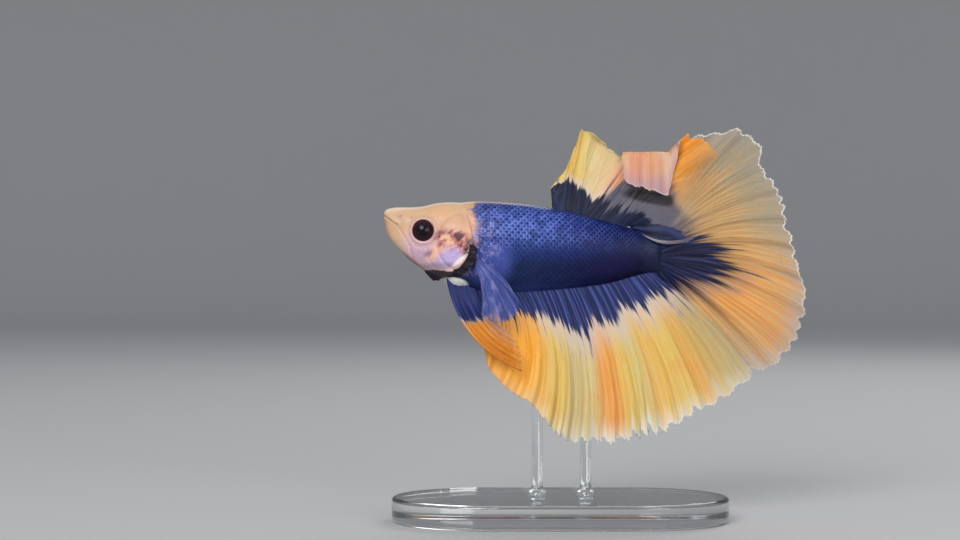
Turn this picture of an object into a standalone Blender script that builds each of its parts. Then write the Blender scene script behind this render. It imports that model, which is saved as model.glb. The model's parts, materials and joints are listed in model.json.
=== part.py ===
"""A male halfmoon betta fish, life-size, on a plain display stand.

Run with: blender --background --python part.py

The fish faces -X and swims level, its left side towards -Y. Sizes are in millimetres
until mesh_object() writes them as metres. "along" is the distance behind the mouth tip,
"height" is above the floor, and "side" is the distance from the middle plane, towards +Y.
"""

import math

import bmesh
import bpy
from mathutils import Vector

# ---------------------------------------------------------------- driving dimensions (mm)
MM = 0.001
FISH_LENGTH = 68.4  # mouth tip to the tail fin's rearmost edge
GAP = 0.3  # between neighbouring pieces
MOUTH_X = -FISH_LENGTH / 2
STEM_END = 43.4  # standard length: mouth tip to the root of the tail fin
BEND_START = 15.0  # the spine bends away towards +Y behind the gills
BEND_END_OFFSET = 1.4  # how far, at the root of the tail fin

# The body's outline: along, back height, belly height, half width.
BODY_STATIONS = (
    (0.0, 49.3, 48.3, 0.45),
    (0.35, 49.8, 47.2, 0.85),
    (1.0, 50.05, 45.7, 1.25),
    (2.3, 50.2, 43.6, 1.8),
    (3.9, 50.2, 41.9, 2.4),
    (5.8, 50.3, 40.5, 2.9),
    (8.7, 50.9, 38.9, 3.5),
    (12.0, 51.1, 37.5, 3.95),
    (15.4, 51.15, 36.9, 3.95),
    (21.9, 50.8, 36.6, 3.75),
    (28.2, 49.8, 37.0, 3.4),
    (35.2, 48.1, 37.8, 2.85),
    (STEM_END, 46.2, 39.6, 1.5),
)
WIDEST_SHARE = 0.52  # where the body is widest, as a share of its depth
BACK_ROUNDNESS = 2.15  # superellipse exponents of a body section
BELLY_ROUNDNESS = 1.9
RING_POINTS = 28

# Where the gill cover ends, at the widest height, and how far forward it sweeps
GILL_END = 14.2
GILL_SWEEP_TOP = 2.2
GILL_SWEEP_BOTTOM = 6.0
STEM_START = 36.6

# Head pieces, as (along, height)
GILL_COVER_CENTRE = (12.6, 44.6)
GILL_COVER_RADII = (4.2, 4.7)
GILL_COVER_DEPTH = 1.4
JAW_MIDDLE = (1.0, 42.0)
JAW_OUTLINE = ((-1.5, 49.55), (2.1, 47.3), (4.1, 44.0), (5.0, 38.0), (-1.5, 38.0))
CUT_REACH = 8.0  # the cutters reach this far to each side, past the widest point
EYE_CENTRE = (6.4, 46.4)
EYE_RADIUS = 1.95
EYE_DEPTH_RADIUS = 1.3
EYE_INSET = 0.7  # the eye's centre lies this far inside the head's side
FRINGE_INNER, FRINGE_OUTER = 0.32, 0.85  # how far the gill fringe's two faces stand off
FRINGE_COLUMNS = 12
FRINGE_FROM, FRINGE_TO = 6.0, 82.0  # degrees below the widest point

# Fins
FIN_ROOT_THICKNESS = 0.8
FIN_EDGE_THICKNESS = 0.52
FIN_ROOT_GAP = 0.35  # a fin's first row stands this far off the body

# Stand
BASE_LENGTH, BASE_DEPTH, BASE_THICKNESS = 54.0, 30.0, 4.0
BASE_CENTRE_X = -6.0
BASE_CORNER = 15.0
BASE_BEVEL = 0.6
ROD_RADIUS = 0.9
ROD_SIDE = 2.25  # the rods stand on the far side of the anal fin
ROD_ALONGS = {"stand_rod_front": 24.6, "stand_rod_rear": 32.4}


# ---------------------------------------------------------------- helpers
def clamp(value, low=0.0, high=1.0):
    return max(low, min(high, value))


def smoothstep(low, high, value):
    share = clamp((value - low) / (high - low))
    return share * share * (3 - 2 * share)


def curve_at(keys, where):
    """The row at `where` on a smooth curve through keys, whose first column is the position.

    A cubic through each pair of rows, with slopes from the rows on both sides.
    """
    last = len(keys) - 1
    i = 0
    while i < last - 1 and where > keys[i + 1][0]:
        i += 1
    a, b = keys[i], keys[i + 1]
    before, after = keys[max(i - 1, 0)], keys[min(i + 2, last)]
    span = b[0] - a[0]
    t = clamp((where - a[0]) / span)
    h00 = (1 + 2 * t) * (1 - t) ** 2
    h10 = t * (1 - t) ** 2
    h01 = t * t * (3 - 2 * t)
    h11 = t * t * (t - 1)
    row = []
    for k in range(1, len(a)):
        slope_a = limited_slope(before, a, b, k)
        slope_b = limited_slope(a, b, after, k)
        row.append(h00 * a[k] + h10 * span * slope_a + h01 * b[k] + h11 * span * slope_b)
    return row


def limited_slope(left, middle, right, k):
    """The slope at the middle row, level at a peak so that the curve doesn't overshoot."""
    if left is middle or right is middle:
        return (right[k] - left[k]) / (right[0] - left[0])
    rise_in = (middle[k] - left[k]) / (middle[0] - left[0])
    rise_out = (right[k] - middle[k]) / (right[0] - middle[0])
    if rise_in * rise_out <= 0:
        return 0.0
    return 2 * rise_in * rise_out / (rise_in + rise_out)


def material(name, colour, roughness, metallic=0.0, alpha=1.0):
    made = bpy.data.materials.get(name) or bpy.data.materials.new(name)
    made.use_nodes = True
    shader = made.node_tree.nodes["Principled BSDF"]
    shader.inputs["Base Color"].default_value = (*colour, 1.0)
    shader.inputs["Roughness"].default_value = roughness
    shader.inputs["Metallic"].default_value = metallic
    shader.inputs["Alpha"].default_value = alpha
    made.diffuse_color = (*colour, alpha)
    return made


def mesh_object(name, points, faces, finish=None):
    """A mesh object from points in millimetres (along, side, height)."""
    mesh = bpy.data.meshes.new(name)
    places = [((MOUTH_X + p[0]) * MM, p[1] * MM, p[2] * MM) for p in points]
    mesh.from_pydata(places, [], faces)
    mesh.validate()
    mesh.shade_smooth()
    made = bpy.data.objects.new(name, mesh)
    bpy.context.scene.collection.objects.link(made)
    if finish:
        mesh.materials.append(finish)
    return made


def as_cutter(made):
    made.hide_render = True
    made.display_type = "WIRE"
    return made


def boolean(made, operation, cutter):
    step = made.modifiers.new(f"{operation.lower()}_{cutter.name}", "BOOLEAN")
    step.operation = operation
    step.solver = "EXACT"
    step.object = cutter


# ---------------------------------------------------------------- the body's surface
def spine_side(along):
    """The middle plane's bend: a parabola behind the gills, straight behind the body."""
    reach = STEM_END - BEND_START
    share = max(0.0, along - BEND_START) / reach
    if share > 1:
        return BEND_END_OFFSET * (2 * share - 1)
    return BEND_END_OFFSET * share * share


def body_section(along):
    """Back height, belly height, half width and height of the widest point."""
    back, belly, half_width = curve_at(BODY_STATIONS, along)
    return back, belly, half_width, belly + WIDEST_SHARE * (back - belly)


def body_point(along, angle, offset=0.0):
    """A point of the body's surface. Angle 0 is the right side (+Y), 90 degrees the back."""
    back, belly, half_width, middle = body_section(along)
    c, s = math.cos(angle), math.sin(angle)
    power = 2 / (BACK_ROUNDNESS if s > 0 else BELLY_ROUNDNESS)
    reach = back - middle if s > 0 else middle - belly
    side = math.copysign(abs(c) ** power, c) * (half_width + offset)
    rise = math.copysign(abs(s) ** power, s) * (reach + offset)
    return Vector((along, spine_side(along) + side, middle + rise))


def belly_under(along, side):
    """The body's underside at this distance from the middle plane."""
    _, belly, half_width, middle = body_section(along)
    share = clamp(abs(side - spine_side(along)) / half_width)
    return middle - (middle - belly) * (1 - share**BELLY_ROUNDNESS) ** (1 / BELLY_ROUNDNESS)


def gill_line(angle):
    """Where the head ends at this angle: furthest back at the side, swept forward above and below."""
    s = math.sin(angle)
    if s > 0:
        return GILL_END - GILL_SWEEP_TOP * s * s
    return GILL_END - GILL_SWEEP_BOTTOM * abs(s) ** 2.5


def loft(name, front, rear, shares, finish=None):
    """A closed length of the body. front and rear give the cuts' places for each angle."""
    angles = [2 * math.pi * i / RING_POINTS for i in range(RING_POINTS)]
    points = []
    for share in shares:
        for angle in angles:
            along = front(angle) + share * (rear(angle) - front(angle))
            points.append(body_point(along, angle))
    faces = []
    for ring in range(len(shares) - 1):
        for i in range(RING_POINTS):
            a = ring * RING_POINTS + i
            b = ring * RING_POINTS + (i + 1) % RING_POINTS
            faces.append((a, b, b + RING_POINTS, a + RING_POINTS))
    for ring, turned in ((0, True), (len(shares) - 1, False)):
        start = ring * RING_POINTS
        rim = points[start : start + RING_POINTS]
        centre = len(points)
        points.append(sum(rim, Vector()) / RING_POINTS)
        for i in range(RING_POINTS):
            a, b = start + i, start + (i + 1) % RING_POINTS
            faces.append((centre, b, a) if turned else (centre, a, b))
    return mesh_object(name, points, faces, finish)


def even_shares(count, crowding=1.0):
    return [(i / (count - 1)) ** crowding for i in range(count)]


# ---------------------------------------------------------------- head
def head_loft(name, finish=None):
    return loft(name, lambda angle: 0.0, gill_line, even_shares(15, 1.35), finish)


def prism(name, outline, side_from, side_to):
    """A prism across the fish over an outline of (along, height) points."""
    count = len(outline)
    points = [(a, side_from, h) for a, h in outline] + [(a, side_to, h) for a, h in outline]
    faces = [(i, (i + 1) % count, count + (i + 1) % count, count + i) for i in range(count)]
    faces += [tuple(reversed(range(count))), tuple(range(count, 2 * count))]
    made = as_cutter(mesh_object(name, points, faces))
    outward_normals(made)
    return made


def outward_normals(made):
    """Turns every face outwards, so that a Boolean reads the solid the right way round."""
    shape = bmesh.new()
    shape.from_mesh(made.data)
    bmesh.ops.recalc_face_normals(shape, faces=shape.faces)
    shape.to_mesh(made.data)
    shape.free()


def grown(outline, centre, amount):
    """An outline moved outwards from a centre by an amount."""
    middle = Vector(centre)
    moved = [Vector(p) + (Vector(p) - middle).normalized() * amount for p in outline]
    return [tuple(p) for p in moved]


def ellipse(centre, radii, count=26):
    turns = [2 * math.pi * i / count for i in range(count)]
    return [(centre[0] + radii[0] * math.cos(t), centre[1] + radii[1] * math.sin(t)) for t in turns]


def eye_ball(name, hand, extra=0.0, finish=None, rings=8, segments=16):
    """A flattened ball in the head's side. hand is -1 for the left eye and 1 for the right."""
    along, height = EYE_CENTRE
    side = hand * (body_section(along)[2] - EYE_INSET)
    radius, depth = EYE_RADIUS + extra, EYE_DEPTH_RADIUS + extra
    points = [(along, side - depth, height)]
    for ring in range(1, rings):
        tilt = math.pi * ring / rings
        for i in range(segments):
            turn = 2 * math.pi * i / segments
            reach = radius * math.sin(tilt)
            points.append((
                along + reach * math.cos(turn),
                side - depth * math.cos(tilt),
                height + reach * math.sin(turn),
            ))
    points.append((along, side + depth, height))
    faces = [(0, 1 + i, 1 + (i + 1) % segments) for i in range(segments)]
    for ring in range(rings - 2):
        for i in range(segments):
            a = 1 + ring * segments + i
            b = 1 + ring * segments + (i + 1) % segments
            faces.append((a, a + segments, b + segments, b))
    last, start = len(points) - 1, 1 + (rings - 2) * segments
    faces += [(last, start + (i + 1) % segments, start + i) for i in range(segments)]
    made = mesh_object(name, points, faces, finish)
    outward_normals(made)
    return made


def gill_cutter(name, hand, extra):
    """The block that parts a gill cover from the head, with a rounded front edge."""
    outline = ellipse(GILL_COVER_CENTRE, [r + extra for r in GILL_COVER_RADII])
    outer = hand * CUT_REACH
    inner = hand * (body_section(GILL_COVER_CENTRE[0])[2] - GILL_COVER_DEPTH - extra)
    return prism(name, outline, min(inner, outer), max(inner, outer))


def make_head(skin, jaw_skin):
    head = head_loft("head", skin)
    room = grown(JAW_OUTLINE, JAW_MIDDLE, GAP)
    boolean(head, "DIFFERENCE", prism("cut_jaw_room", room, -CUT_REACH, CUT_REACH))
    jaw = head_loft("lower_jaw", jaw_skin)
    boolean(jaw, "INTERSECT", prism("cut_jaw", JAW_OUTLINE, -CUT_REACH, CUT_REACH))
    black = material("eye_black", (0.012, 0.006, 0.008), 0.08)
    for label, hand in (("left", -1), ("right", 1)):
        boolean(head, "DIFFERENCE", gill_cutter(f"cut_gill_room_{label}", hand, GAP))
        cover = head_loft(f"gill_cover_{label}", skin)
        boolean(cover, "INTERSECT", gill_cutter(f"cut_gill_{label}", hand, 0.0))
        eye_ball(f"eye_{label}", hand, 0.0, black)
        boolean(head, "DIFFERENCE", as_cutter(eye_ball(f"cut_eye_{label}", hand, GAP)))


def gill_membrane(label, hand, finish):
    """The dark fringe under a gill cover: a strip that stands just off the body's surface."""
    points = []
    for i in range(FRINGE_COLUMNS + 1):
        share = i / FRINGE_COLUMNS
        down = math.radians(FRINGE_FROM + (FRINGE_TO - FRINGE_FROM) * share)
        angle = -down if hand > 0 else math.pi + down
        front = gill_line(angle) - 1.5 - 0.8 * share
        rear = gill_line(angle) + 0.25 + 0.5 * math.sin(math.pi * clamp(share + 0.15))
        points.append(body_point(front, angle, FRINGE_INNER))
        points.append(body_point(rear, angle, FRINGE_INNER))
        points.append(body_point(rear, angle, FRINGE_OUTER))
        points.append(body_point(front, angle, FRINGE_OUTER * 0.85))
    faces = [(0, 1, 2, 3)]
    for i in range(FRINGE_COLUMNS):
        for k in range(4):
            a, b = 4 * i + k, 4 * i + (k + 1) % 4
            faces.append((a, b, b + 4, a + 4))
    end = 4 * FRINGE_COLUMNS
    faces.append((end, end + 3, end + 2, end + 1))
    made = mesh_object(f"gill_membrane_{label}", points, faces, finish)
    outward_normals(made)


# ---------------------------------------------------------------- trunk and tail stem
def make_trunk(scales):
    loft(
        "trunk",
        lambda angle: gill_line(angle) + GAP,
        lambda angle: STEM_START,
        even_shares(13),
        scales,
    )
    loft(
        "tail_stem",
        lambda angle: STEM_START + GAP,
        lambda angle: STEM_END,
        even_shares(4),
        scales,
    )


# ---------------------------------------------------------------- fins
def fin(name, finish, columns, rows, point):
    """A closed fin of grid points point(s, t), s from its first ray to its last, t root to edge.

    Each side stands off the middle sheet along its normal, by half the local thickness.
    """
    sheet = [
        [point(i / columns, j / rows) for j in range(rows + 1)] for i in range(columns + 1)
    ]
    near, far = [], []
    for i in range(columns + 1):
        for j in range(rows + 1):
            across = sheet[min(i + 1, columns)][j] - sheet[max(i - 1, 0)][j]
            outwards = sheet[i][min(j + 1, rows)] - sheet[i][max(j - 1, 0)]
            normal = across.cross(outwards).normalized()
            share = j / rows
            half = (FIN_ROOT_THICKNESS * (1 - share) + FIN_EDGE_THICKNESS * share) / 2
            near.append(sheet[i][j] - normal * half)
            far.append(sheet[i][j] + normal * half)
    count = len(near)
    faces = []
    for i in range(columns):
        for j in range(rows):
            a = i * (rows + 1) + j
            b = a + rows + 1
            faces.append((a, a + 1, b + 1, b))
            faces.append((count + a, count + b, count + b + 1, count + a + 1))
    rim = [i * (rows + 1) for i in range(columns + 1)]
    rim += [columns * (rows + 1) + j for j in range(1, rows + 1)]
    rim += [i * (rows + 1) + rows for i in range(columns - 1, -1, -1)]
    rim += [j for j in range(rows - 1, 0, -1)]
    for k, a in enumerate(rim):
        b = rim[(k + 1) % len(rim)]
        faces.append((a, b, count + b, count + a))
    outward_normals(mesh_object(name, near + far, faces, finish))


def ray_point(root, tip, bow, t):
    """A point on a fin ray: a shallow arc from root to tip, each (along, height)."""
    root, tip = Vector(root), Vector(tip)
    chord = tip - root
    normal = Vector((-chord.y, chord.x)).normalized()
    return root + chord * t + normal * (bow * 4 * t * (1 - t))


def scallop(s, count, depth):
    """How much of its length a ray keeps: all at the count ray tips, less between them."""
    return 1 - depth * (1 - abs(math.cos(math.pi * count * s)))


# Dorsal fin: its share, and the place of its edge if the fin stood flat.
DORSAL_ROOT = (26.9, 42.4)
DORSAL_EDGE = (
    (0.0, 26.7, 53.4),
    (0.08, 29.3, 56.8),
    (0.16, 30.8, 60.6),
    (0.24, 32.0, 63.0),
    (0.31, 34.2, 62.6),
    (0.40, 36.8, 59.6),
    (0.44, 38.0, 63.4),
    (0.50, 40.2, 65.2),
    (0.58, 43.4, 66.8),
    (0.65, 45.6, 66.2),
    (0.70, 47.4, 61.6),
    (0.80, 50.6, 61.2),
    (0.88, 53.6, 57.6),
    (0.95, 53.4, 50.2),
    (1.0, 50.9, 45.4),
)
DORSAL_CREST = 58.1  # the fin's middle flops over towards -Y above this height
DORSAL_CREST_RADIUS = 0.85
DORSAL_FLOP = (0.405, 0.70)  # the shares between which it does
DORSAL_BOW = 1.2  # how far a ray arches backwards, from none at the front
DORSAL_SAG = 1.5  # the last rays hang down beside the tail stem
DORSAL_LEAN = 3.4  # and lean over towards -Y
DORSAL_WAVES, DORSAL_SWAY = 3.2, 0.55
DORSAL_RUFFLES, DORSAL_RUFFLE = 8, 1.0


def dorsal_point(s, t):
    along = DORSAL_ROOT[0] + s * (DORSAL_ROOT[1] - DORSAL_ROOT[0])
    root = (along, body_section(along)[0] + FIN_ROOT_GAP)
    last = smoothstep(0.86, 1.0, s)
    flat = ray_point(root, curve_at(DORSAL_EDGE, s), DORSAL_BOW * (s - last), t)
    sag = DORSAL_SAG * last * math.sin(math.pi * smoothstep(0.12, 1.0, t))
    height, side = flat.y - sag, spine_side(flat.x)
    side += DORSAL_SWAY * t * math.sin(2 * math.pi * DORSAL_WAVES * s + 0.6)
    rear = smoothstep(0.62, 0.92, s)
    side -= DORSAL_LEAN * rear * math.sin(math.pi / 2 * min(1.0, 2.2 * t))
    ruffled = smoothstep(0.66, 0.74, s) * t * t
    side += DORSAL_RUFFLE * ruffled * math.sin(2 * math.pi * DORSAL_RUFFLES * s)
    low, high = DORSAL_FLOP
    crest = DORSAL_CREST + 26 * (clamp(low - s) + clamp(s - high) * 3)
    over = height - crest
    if over > 0:
        turn = min(over / DORSAL_CREST_RADIUS, math.pi)
        drop = max(0.0, over - math.pi * DORSAL_CREST_RADIUS)
        height = crest + DORSAL_CREST_RADIUS * math.sin(turn) - drop
        side -= DORSAL_CREST_RADIUS * (1 - math.cos(turn)) + 0.12 * drop
    return Vector((flat.x, side, height))


# Tail fin: the direction of a ray above the level in degrees, and its reach.
CAUDAL_CENTRE = (STEM_END, 43.0)
CAUDAL_ROOT_HALF_HEIGHT = 2.9
CAUDAL_SPREAD = (77.0, -73.0)
CAUDAL_REACH = (
    (-80.0, 20.8),
    (-73.0, 21.5),
    (-54.0, 24.8),
    (-42.0, 27.3),
    (-34.0, 27.4),
    (-26.0, 27.0),
    (-16.0, 25.9),
    (-4.0, 23.5),
    (4.0, 22.9),
    (14.0, 22.1),
    (24.0, 22.9),
    (38.5, 22.6),
    (45.0, 24.7),
    (53.5, 24.9),
    (62.0, 22.3),
    (77.0, 19.0),
    (80.0, 18.6),
)
CAUDAL_FOLD = (-39.0, -46.5)  # below these directions the lower lobe lies further to +Y
CAUDAL_FOLD_DEPTH = 2.5
CAUDAL_BOW = 1.5
CAUDAL_PLEATS, CAUDAL_PLEAT = 12, 0.55
CAUDAL_WAVES, CAUDAL_SWING = 1.4, 0.9
CAUDAL_TIPS, CAUDAL_NOTCH = 24, 0.035  # the edge's scallops


def caudal_point(s, t):
    first, last = CAUDAL_SPREAD
    direction = first + s * (last - first)
    turn = math.radians(direction)
    centre = Vector(CAUDAL_CENTRE)
    root = (STEM_END + GAP + FIN_ROOT_GAP, centre.y + CAUDAL_ROOT_HALF_HEIGHT * math.sin(turn))
    reach = curve_at(CAUDAL_REACH, direction)[0] * scallop(s, CAUDAL_TIPS, CAUDAL_NOTCH)
    edge = centre + reach * Vector((math.cos(turn), math.sin(turn)))
    flat = ray_point(root, edge, CAUDAL_BOW * math.sin(math.pi * s), t)
    side = spine_side(flat.x)
    side += CAUDAL_PLEAT * t * math.sin(2 * math.pi * CAUDAL_PLEATS * s)
    side += CAUDAL_SWING * t * t * math.sin(2 * math.pi * CAUDAL_WAVES * s + 0.4)
    folded = smoothstep(-CAUDAL_FOLD[0], -CAUDAL_FOLD[1], -direction)
    side += CAUDAL_FOLD_DEPTH * folded * smoothstep(0.0, 0.35, t)
    return Vector((flat.x, side, flat.y))


# Anal fin: its share, and the place of its edge.
ANAL_ROOT = (16.9, 42.2)
ANAL_EDGE = (
    (0.0, 16.5, 27.6),
    (0.06, 16.7, 24.9),
    (0.13, 18.8, 22.2),
    (0.20, 21.6, 19.8),
    (0.24, 23.2, 19.0),
    (0.30, 25.4, 16.4),
    (0.38, 28.3, 13.2),
    (0.45, 30.9, 12.1),
    (0.56, 36.2, 12.2),
    (0.66, 40.6, 12.8),
    (0.75, 44.9, 13.9),
    (0.84, 50.0, 16.8),
    (0.92, 54.4, 19.0),
    (1.0, 60.0, 23.2),
)
ANAL_BOW_FRONT, ANAL_BOW_REAR = 2.6, 0.9
ANAL_PLEATS, ANAL_PLEAT = 12, 0.5
ANAL_WAVES, ANAL_SWING = 1.7, 0.55
ANAL_LEAN = 0.5  # towards -Y
ANAL_TIPS, ANAL_NOTCH = 16, 0.04


def anal_point(s, t):
    along = ANAL_ROOT[0] + s * (ANAL_ROOT[1] - ANAL_ROOT[0])
    root = Vector((along, body_section(along)[1] - FIN_ROOT_GAP))
    edge = Vector(curve_at(ANAL_EDGE, s))
    edge = root + (edge - root) * scallop(s, ANAL_TIPS, ANAL_NOTCH)
    bow = ANAL_BOW_FRONT * (1 - s) * smoothstep(0.0, 0.2, s) + ANAL_BOW_REAR * s
    flat = ray_point(root, edge, bow, t)
    side = spine_side(flat.x) - ANAL_LEAN * t
    side += ANAL_PLEAT * smoothstep(0.15, 1.0, t) * math.sin(2 * math.pi * ANAL_PLEATS * s)
    side += ANAL_SWING * t * t * math.sin(2 * math.pi * ANAL_WAVES * s + 2.2)
    return Vector((flat.x, side, flat.y))


# Pelvic and pectoral fins come in pairs. Rows are share, along, height.
PELVIC_ROOT = ((0.0, 10.7, 1.3), (1.0, 15.0, 1.2))  # along, and distance from the middle
PELVIC_TUCK = 0.75  # the root lies this far below the body's side
PELVIC_BOW_FRONT, PELVIC_BOW_REAR = -2.3, -0.8
PELVIC_FLARE = 1.5
PELVIC_EDGE = ((0.0, 22.2, 23.6), (0.5, 22.0, 26.2), (1.0, 20.6, 29.6))


def pelvic_point(hand, s, t):
    along, apart = curve_at(PELVIC_ROOT, s)
    root = (along, belly_under(along, hand * apart) - PELVIC_TUCK)
    bow = PELVIC_BOW_FRONT + s * (PELVIC_BOW_REAR - PELVIC_BOW_FRONT)
    flat = ray_point(root, curve_at(PELVIC_EDGE, s), bow, t)
    flare = 0.5 + PELVIC_FLARE * t - 0.5 * s * t
    wave = 0.25 * t * math.sin(2 * math.pi * (s * 1.5 + t * 0.5))
    return Vector((flat.x, hand * (apart + flare + wave), flat.y))


PECTORAL_ROOT = ((0.0, 14.9, 39.9), (1.0, 15.8, 41.6))
PECTORAL_EDGE = (
    (0.0, 15.6, 32.9),
    (0.3, 17.8, 31.7),
    (0.6, 20.4, 32.3),
    (0.8, 21.6, 34.4),
    (1.0, 20.4, 37.2),
)
PECTORAL_STAND_OFF = 4.55  # from the middle plane, at the root
PECTORAL_SPLAY = 0.9


def pectoral_point(hand, s, t):
    flat = ray_point(curve_at(PECTORAL_ROOT, s), curve_at(PECTORAL_EDGE, s), 0.4, t)
    wave = 0.22 * t * math.sin(2 * math.pi * 2.5 * s)
    return Vector((flat.x, hand * (PECTORAL_STAND_OFF + PECTORAL_SPLAY * t + wave), flat.y))


def make_fins():
    dorsal = material("dorsal_fin", (0.65, 0.42, 0.16), 0.5)
    caudal = material("caudal_fin", (0.65, 0.33, 0.1), 0.5)
    anal = material("anal_fin", (0.75, 0.45, 0.13), 0.5)
    pelvic = material("pelvic_fin", (0.6, 0.25, 0.06), 0.5)
    pectoral = material("pectoral_fin", (0.09, 0.12, 0.38), 0.5, alpha=0.8)
    fin("dorsal_fin", dorsal, 40, 11, dorsal_point)
    fin("caudal_fin", caudal, 48, 6, caudal_point)
    fin("anal_fin", anal, 48, 6, anal_point)
    for label, hand in (("left", -1), ("right", 1)):
        fin(f"pelvic_fin_{label}", pelvic, 6, 9, lambda s, t: pelvic_point(hand, s, t))
        fin(f"pectoral_fin_{label}", pectoral, 10, 4, lambda s, t: pectoral_point(hand, s, t))


# ---------------------------------------------------------------- stand
def make_base(acrylic):
    """A flat plate with round ends."""
    outline = []
    straight = BASE_LENGTH / 2 - BASE_CORNER
    for i in range(48):
        turn = 2 * math.pi * (i + 0.5) / 48
        c, s = math.cos(turn), math.sin(turn)
        along = BASE_CENTRE_X - MOUTH_X + math.copysign(straight, c) + BASE_CORNER * c
        outline.append((along, BASE_DEPTH / 2 * s))
    count = len(outline)
    points = [(a, s, 0.0) for a, s in outline] + [(a, s, BASE_THICKNESS) for a, s in outline]
    faces = [(i, (i + 1) % count, count + (i + 1) % count, count + i) for i in range(count)]
    faces += [tuple(reversed(range(count))), tuple(range(count, 2 * count))]
    made = mesh_object("stand_base", points, faces, acrylic)
    bevel = made.modifiers.new("soft_edge", "BEVEL")
    bevel.width = BASE_BEVEL * MM
    bevel.segments = 2
    bevel.limit_method = "ANGLE"
    bevel.angle_limit = math.radians(60)


def make_rod(name, along, acrylic, sides=16):
    """An upright rod whose slanted top lies against the body's underside."""
    axis_side = spine_side(along) + ROD_SIDE
    step = 0.05
    here = belly_under(along, axis_side)
    rise_along = (belly_under(along + step, axis_side) - here) / step
    rise_side = (belly_under(along, axis_side + step) - here) / step
    top = here - GAP * math.hypot(1, rise_along, rise_side)
    foot = BASE_THICKNESS + GAP
    rim = []
    for i in range(sides):
        turn = 2 * math.pi * i / sides
        rim.append((ROD_RADIUS * math.cos(turn), ROD_RADIUS * math.sin(turn)))
    points = [(along + a, axis_side + s, foot) for a, s in rim]
    points += [(along + a, axis_side + s, top + rise_along * a + rise_side * s) for a, s in rim]
    faces = [(i, (i + 1) % sides, sides + (i + 1) % sides, sides + i) for i in range(sides)]
    faces += [tuple(reversed(range(sides))), tuple(range(sides, 2 * sides))]
    made = mesh_object(name, points, faces, acrylic)
    made.data.set_sharp_from_angle(angle=math.radians(40))


def make_stand():
    acrylic = material("clear_acrylic", (0.85, 0.88, 0.9), 0.05, alpha=0.35)
    make_base(acrylic)
    for name, along in ROD_ALONGS.items():
        make_rod(name, along, acrylic)


# ---------------------------------------------------------------- the whole model
def main():
    for old in list(bpy.data.objects):
        bpy.data.objects.remove(old, do_unlink=True)
    face = material("face_skin", (0.66, 0.42, 0.3), 0.45)
    jaw = material("jaw_skin", (0.62, 0.42, 0.36), 0.45)
    scales = material("body_scales", (0.03, 0.06, 0.3), 0.35, metallic=0.2)
    fringe = material("gill_fringe", (0.01, 0.008, 0.016), 0.4)
    make_head(face, jaw)
    for label, hand in (("left", -1), ("right", 1)):
        gill_membrane(label, hand, fringe)
    make_trunk(scales)
    make_fins()
    make_stand()


main()
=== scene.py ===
"""A male halfmoon betta fish on a clear display stand: its finished looks, as a Blender add-on.

The fish faces -X and swims level, its left side towards -Y. Lengths are in millimetres until
a mesh is made. "along" is the distance behind the mouth tip, "height" is above the floor and
"side" is the distance from the middle plane, towards +Y.
"""

import json
import math
import random

import bmesh
import bpy
import numpy as np
from bpy.props import FloatProperty, FloatVectorProperty, PointerProperty
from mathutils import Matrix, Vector

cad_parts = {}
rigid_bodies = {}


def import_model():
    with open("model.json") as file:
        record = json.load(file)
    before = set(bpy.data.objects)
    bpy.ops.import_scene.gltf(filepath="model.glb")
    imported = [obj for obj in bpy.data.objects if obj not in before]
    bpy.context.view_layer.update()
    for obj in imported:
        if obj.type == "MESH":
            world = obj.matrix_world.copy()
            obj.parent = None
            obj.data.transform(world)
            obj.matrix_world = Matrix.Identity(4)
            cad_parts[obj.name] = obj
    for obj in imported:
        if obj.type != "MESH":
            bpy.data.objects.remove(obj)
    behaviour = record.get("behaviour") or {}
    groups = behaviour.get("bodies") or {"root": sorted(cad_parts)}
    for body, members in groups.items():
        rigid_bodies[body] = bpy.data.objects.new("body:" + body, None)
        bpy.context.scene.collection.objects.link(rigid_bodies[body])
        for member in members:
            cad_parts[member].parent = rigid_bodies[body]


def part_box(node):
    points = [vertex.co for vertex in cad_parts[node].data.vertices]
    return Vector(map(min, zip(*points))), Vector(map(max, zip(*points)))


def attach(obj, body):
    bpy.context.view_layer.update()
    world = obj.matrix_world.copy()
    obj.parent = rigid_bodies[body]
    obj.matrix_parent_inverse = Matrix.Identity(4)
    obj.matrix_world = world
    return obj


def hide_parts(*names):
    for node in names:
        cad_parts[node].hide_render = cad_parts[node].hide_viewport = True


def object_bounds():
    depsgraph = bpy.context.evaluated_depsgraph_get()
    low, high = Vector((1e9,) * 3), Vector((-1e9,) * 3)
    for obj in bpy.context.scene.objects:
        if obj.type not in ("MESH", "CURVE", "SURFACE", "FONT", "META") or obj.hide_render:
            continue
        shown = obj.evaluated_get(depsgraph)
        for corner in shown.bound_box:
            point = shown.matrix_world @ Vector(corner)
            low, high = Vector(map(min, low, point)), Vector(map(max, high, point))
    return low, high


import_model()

bl_info = {
    "name": "Halfmoon Betta Fish", "version": (1, 0, 0), "blender": (4, 5, 0),
    "location": "3D View > Sidebar > Betta",
    "description": "Dresses the solids of a halfmoon betta with skin, scales, fins, eyes and stand",
    "category": "Object",
}

MM = 0.001
BODY = "root"
SIDES = (("left", -1), ("right", 1))  # a side's name, and its sign along Y
CAD_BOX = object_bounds()


def box_mm(node):
    """A solid's lowest and highest corners in millimetres."""
    low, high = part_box(node)
    return np.array(low) / MM, np.array(high) / MM


# ---------------------------------------------------------------- sizes, in millimetres
MOUTH_X = box_mm("head")[0][0]
STEM_END = box_mm("tail_stem")[1][0] - MOUTH_X
SKIN_END = STEM_END + 1.9  # where the skin closes, inside the root of the tail fin
BASE_TOP = box_mm("stand_base")[1][2]
BEND_START = 15.0  # the spine bends away towards +Y behind the gills
BEND_END_OFFSET = 1.4

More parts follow.
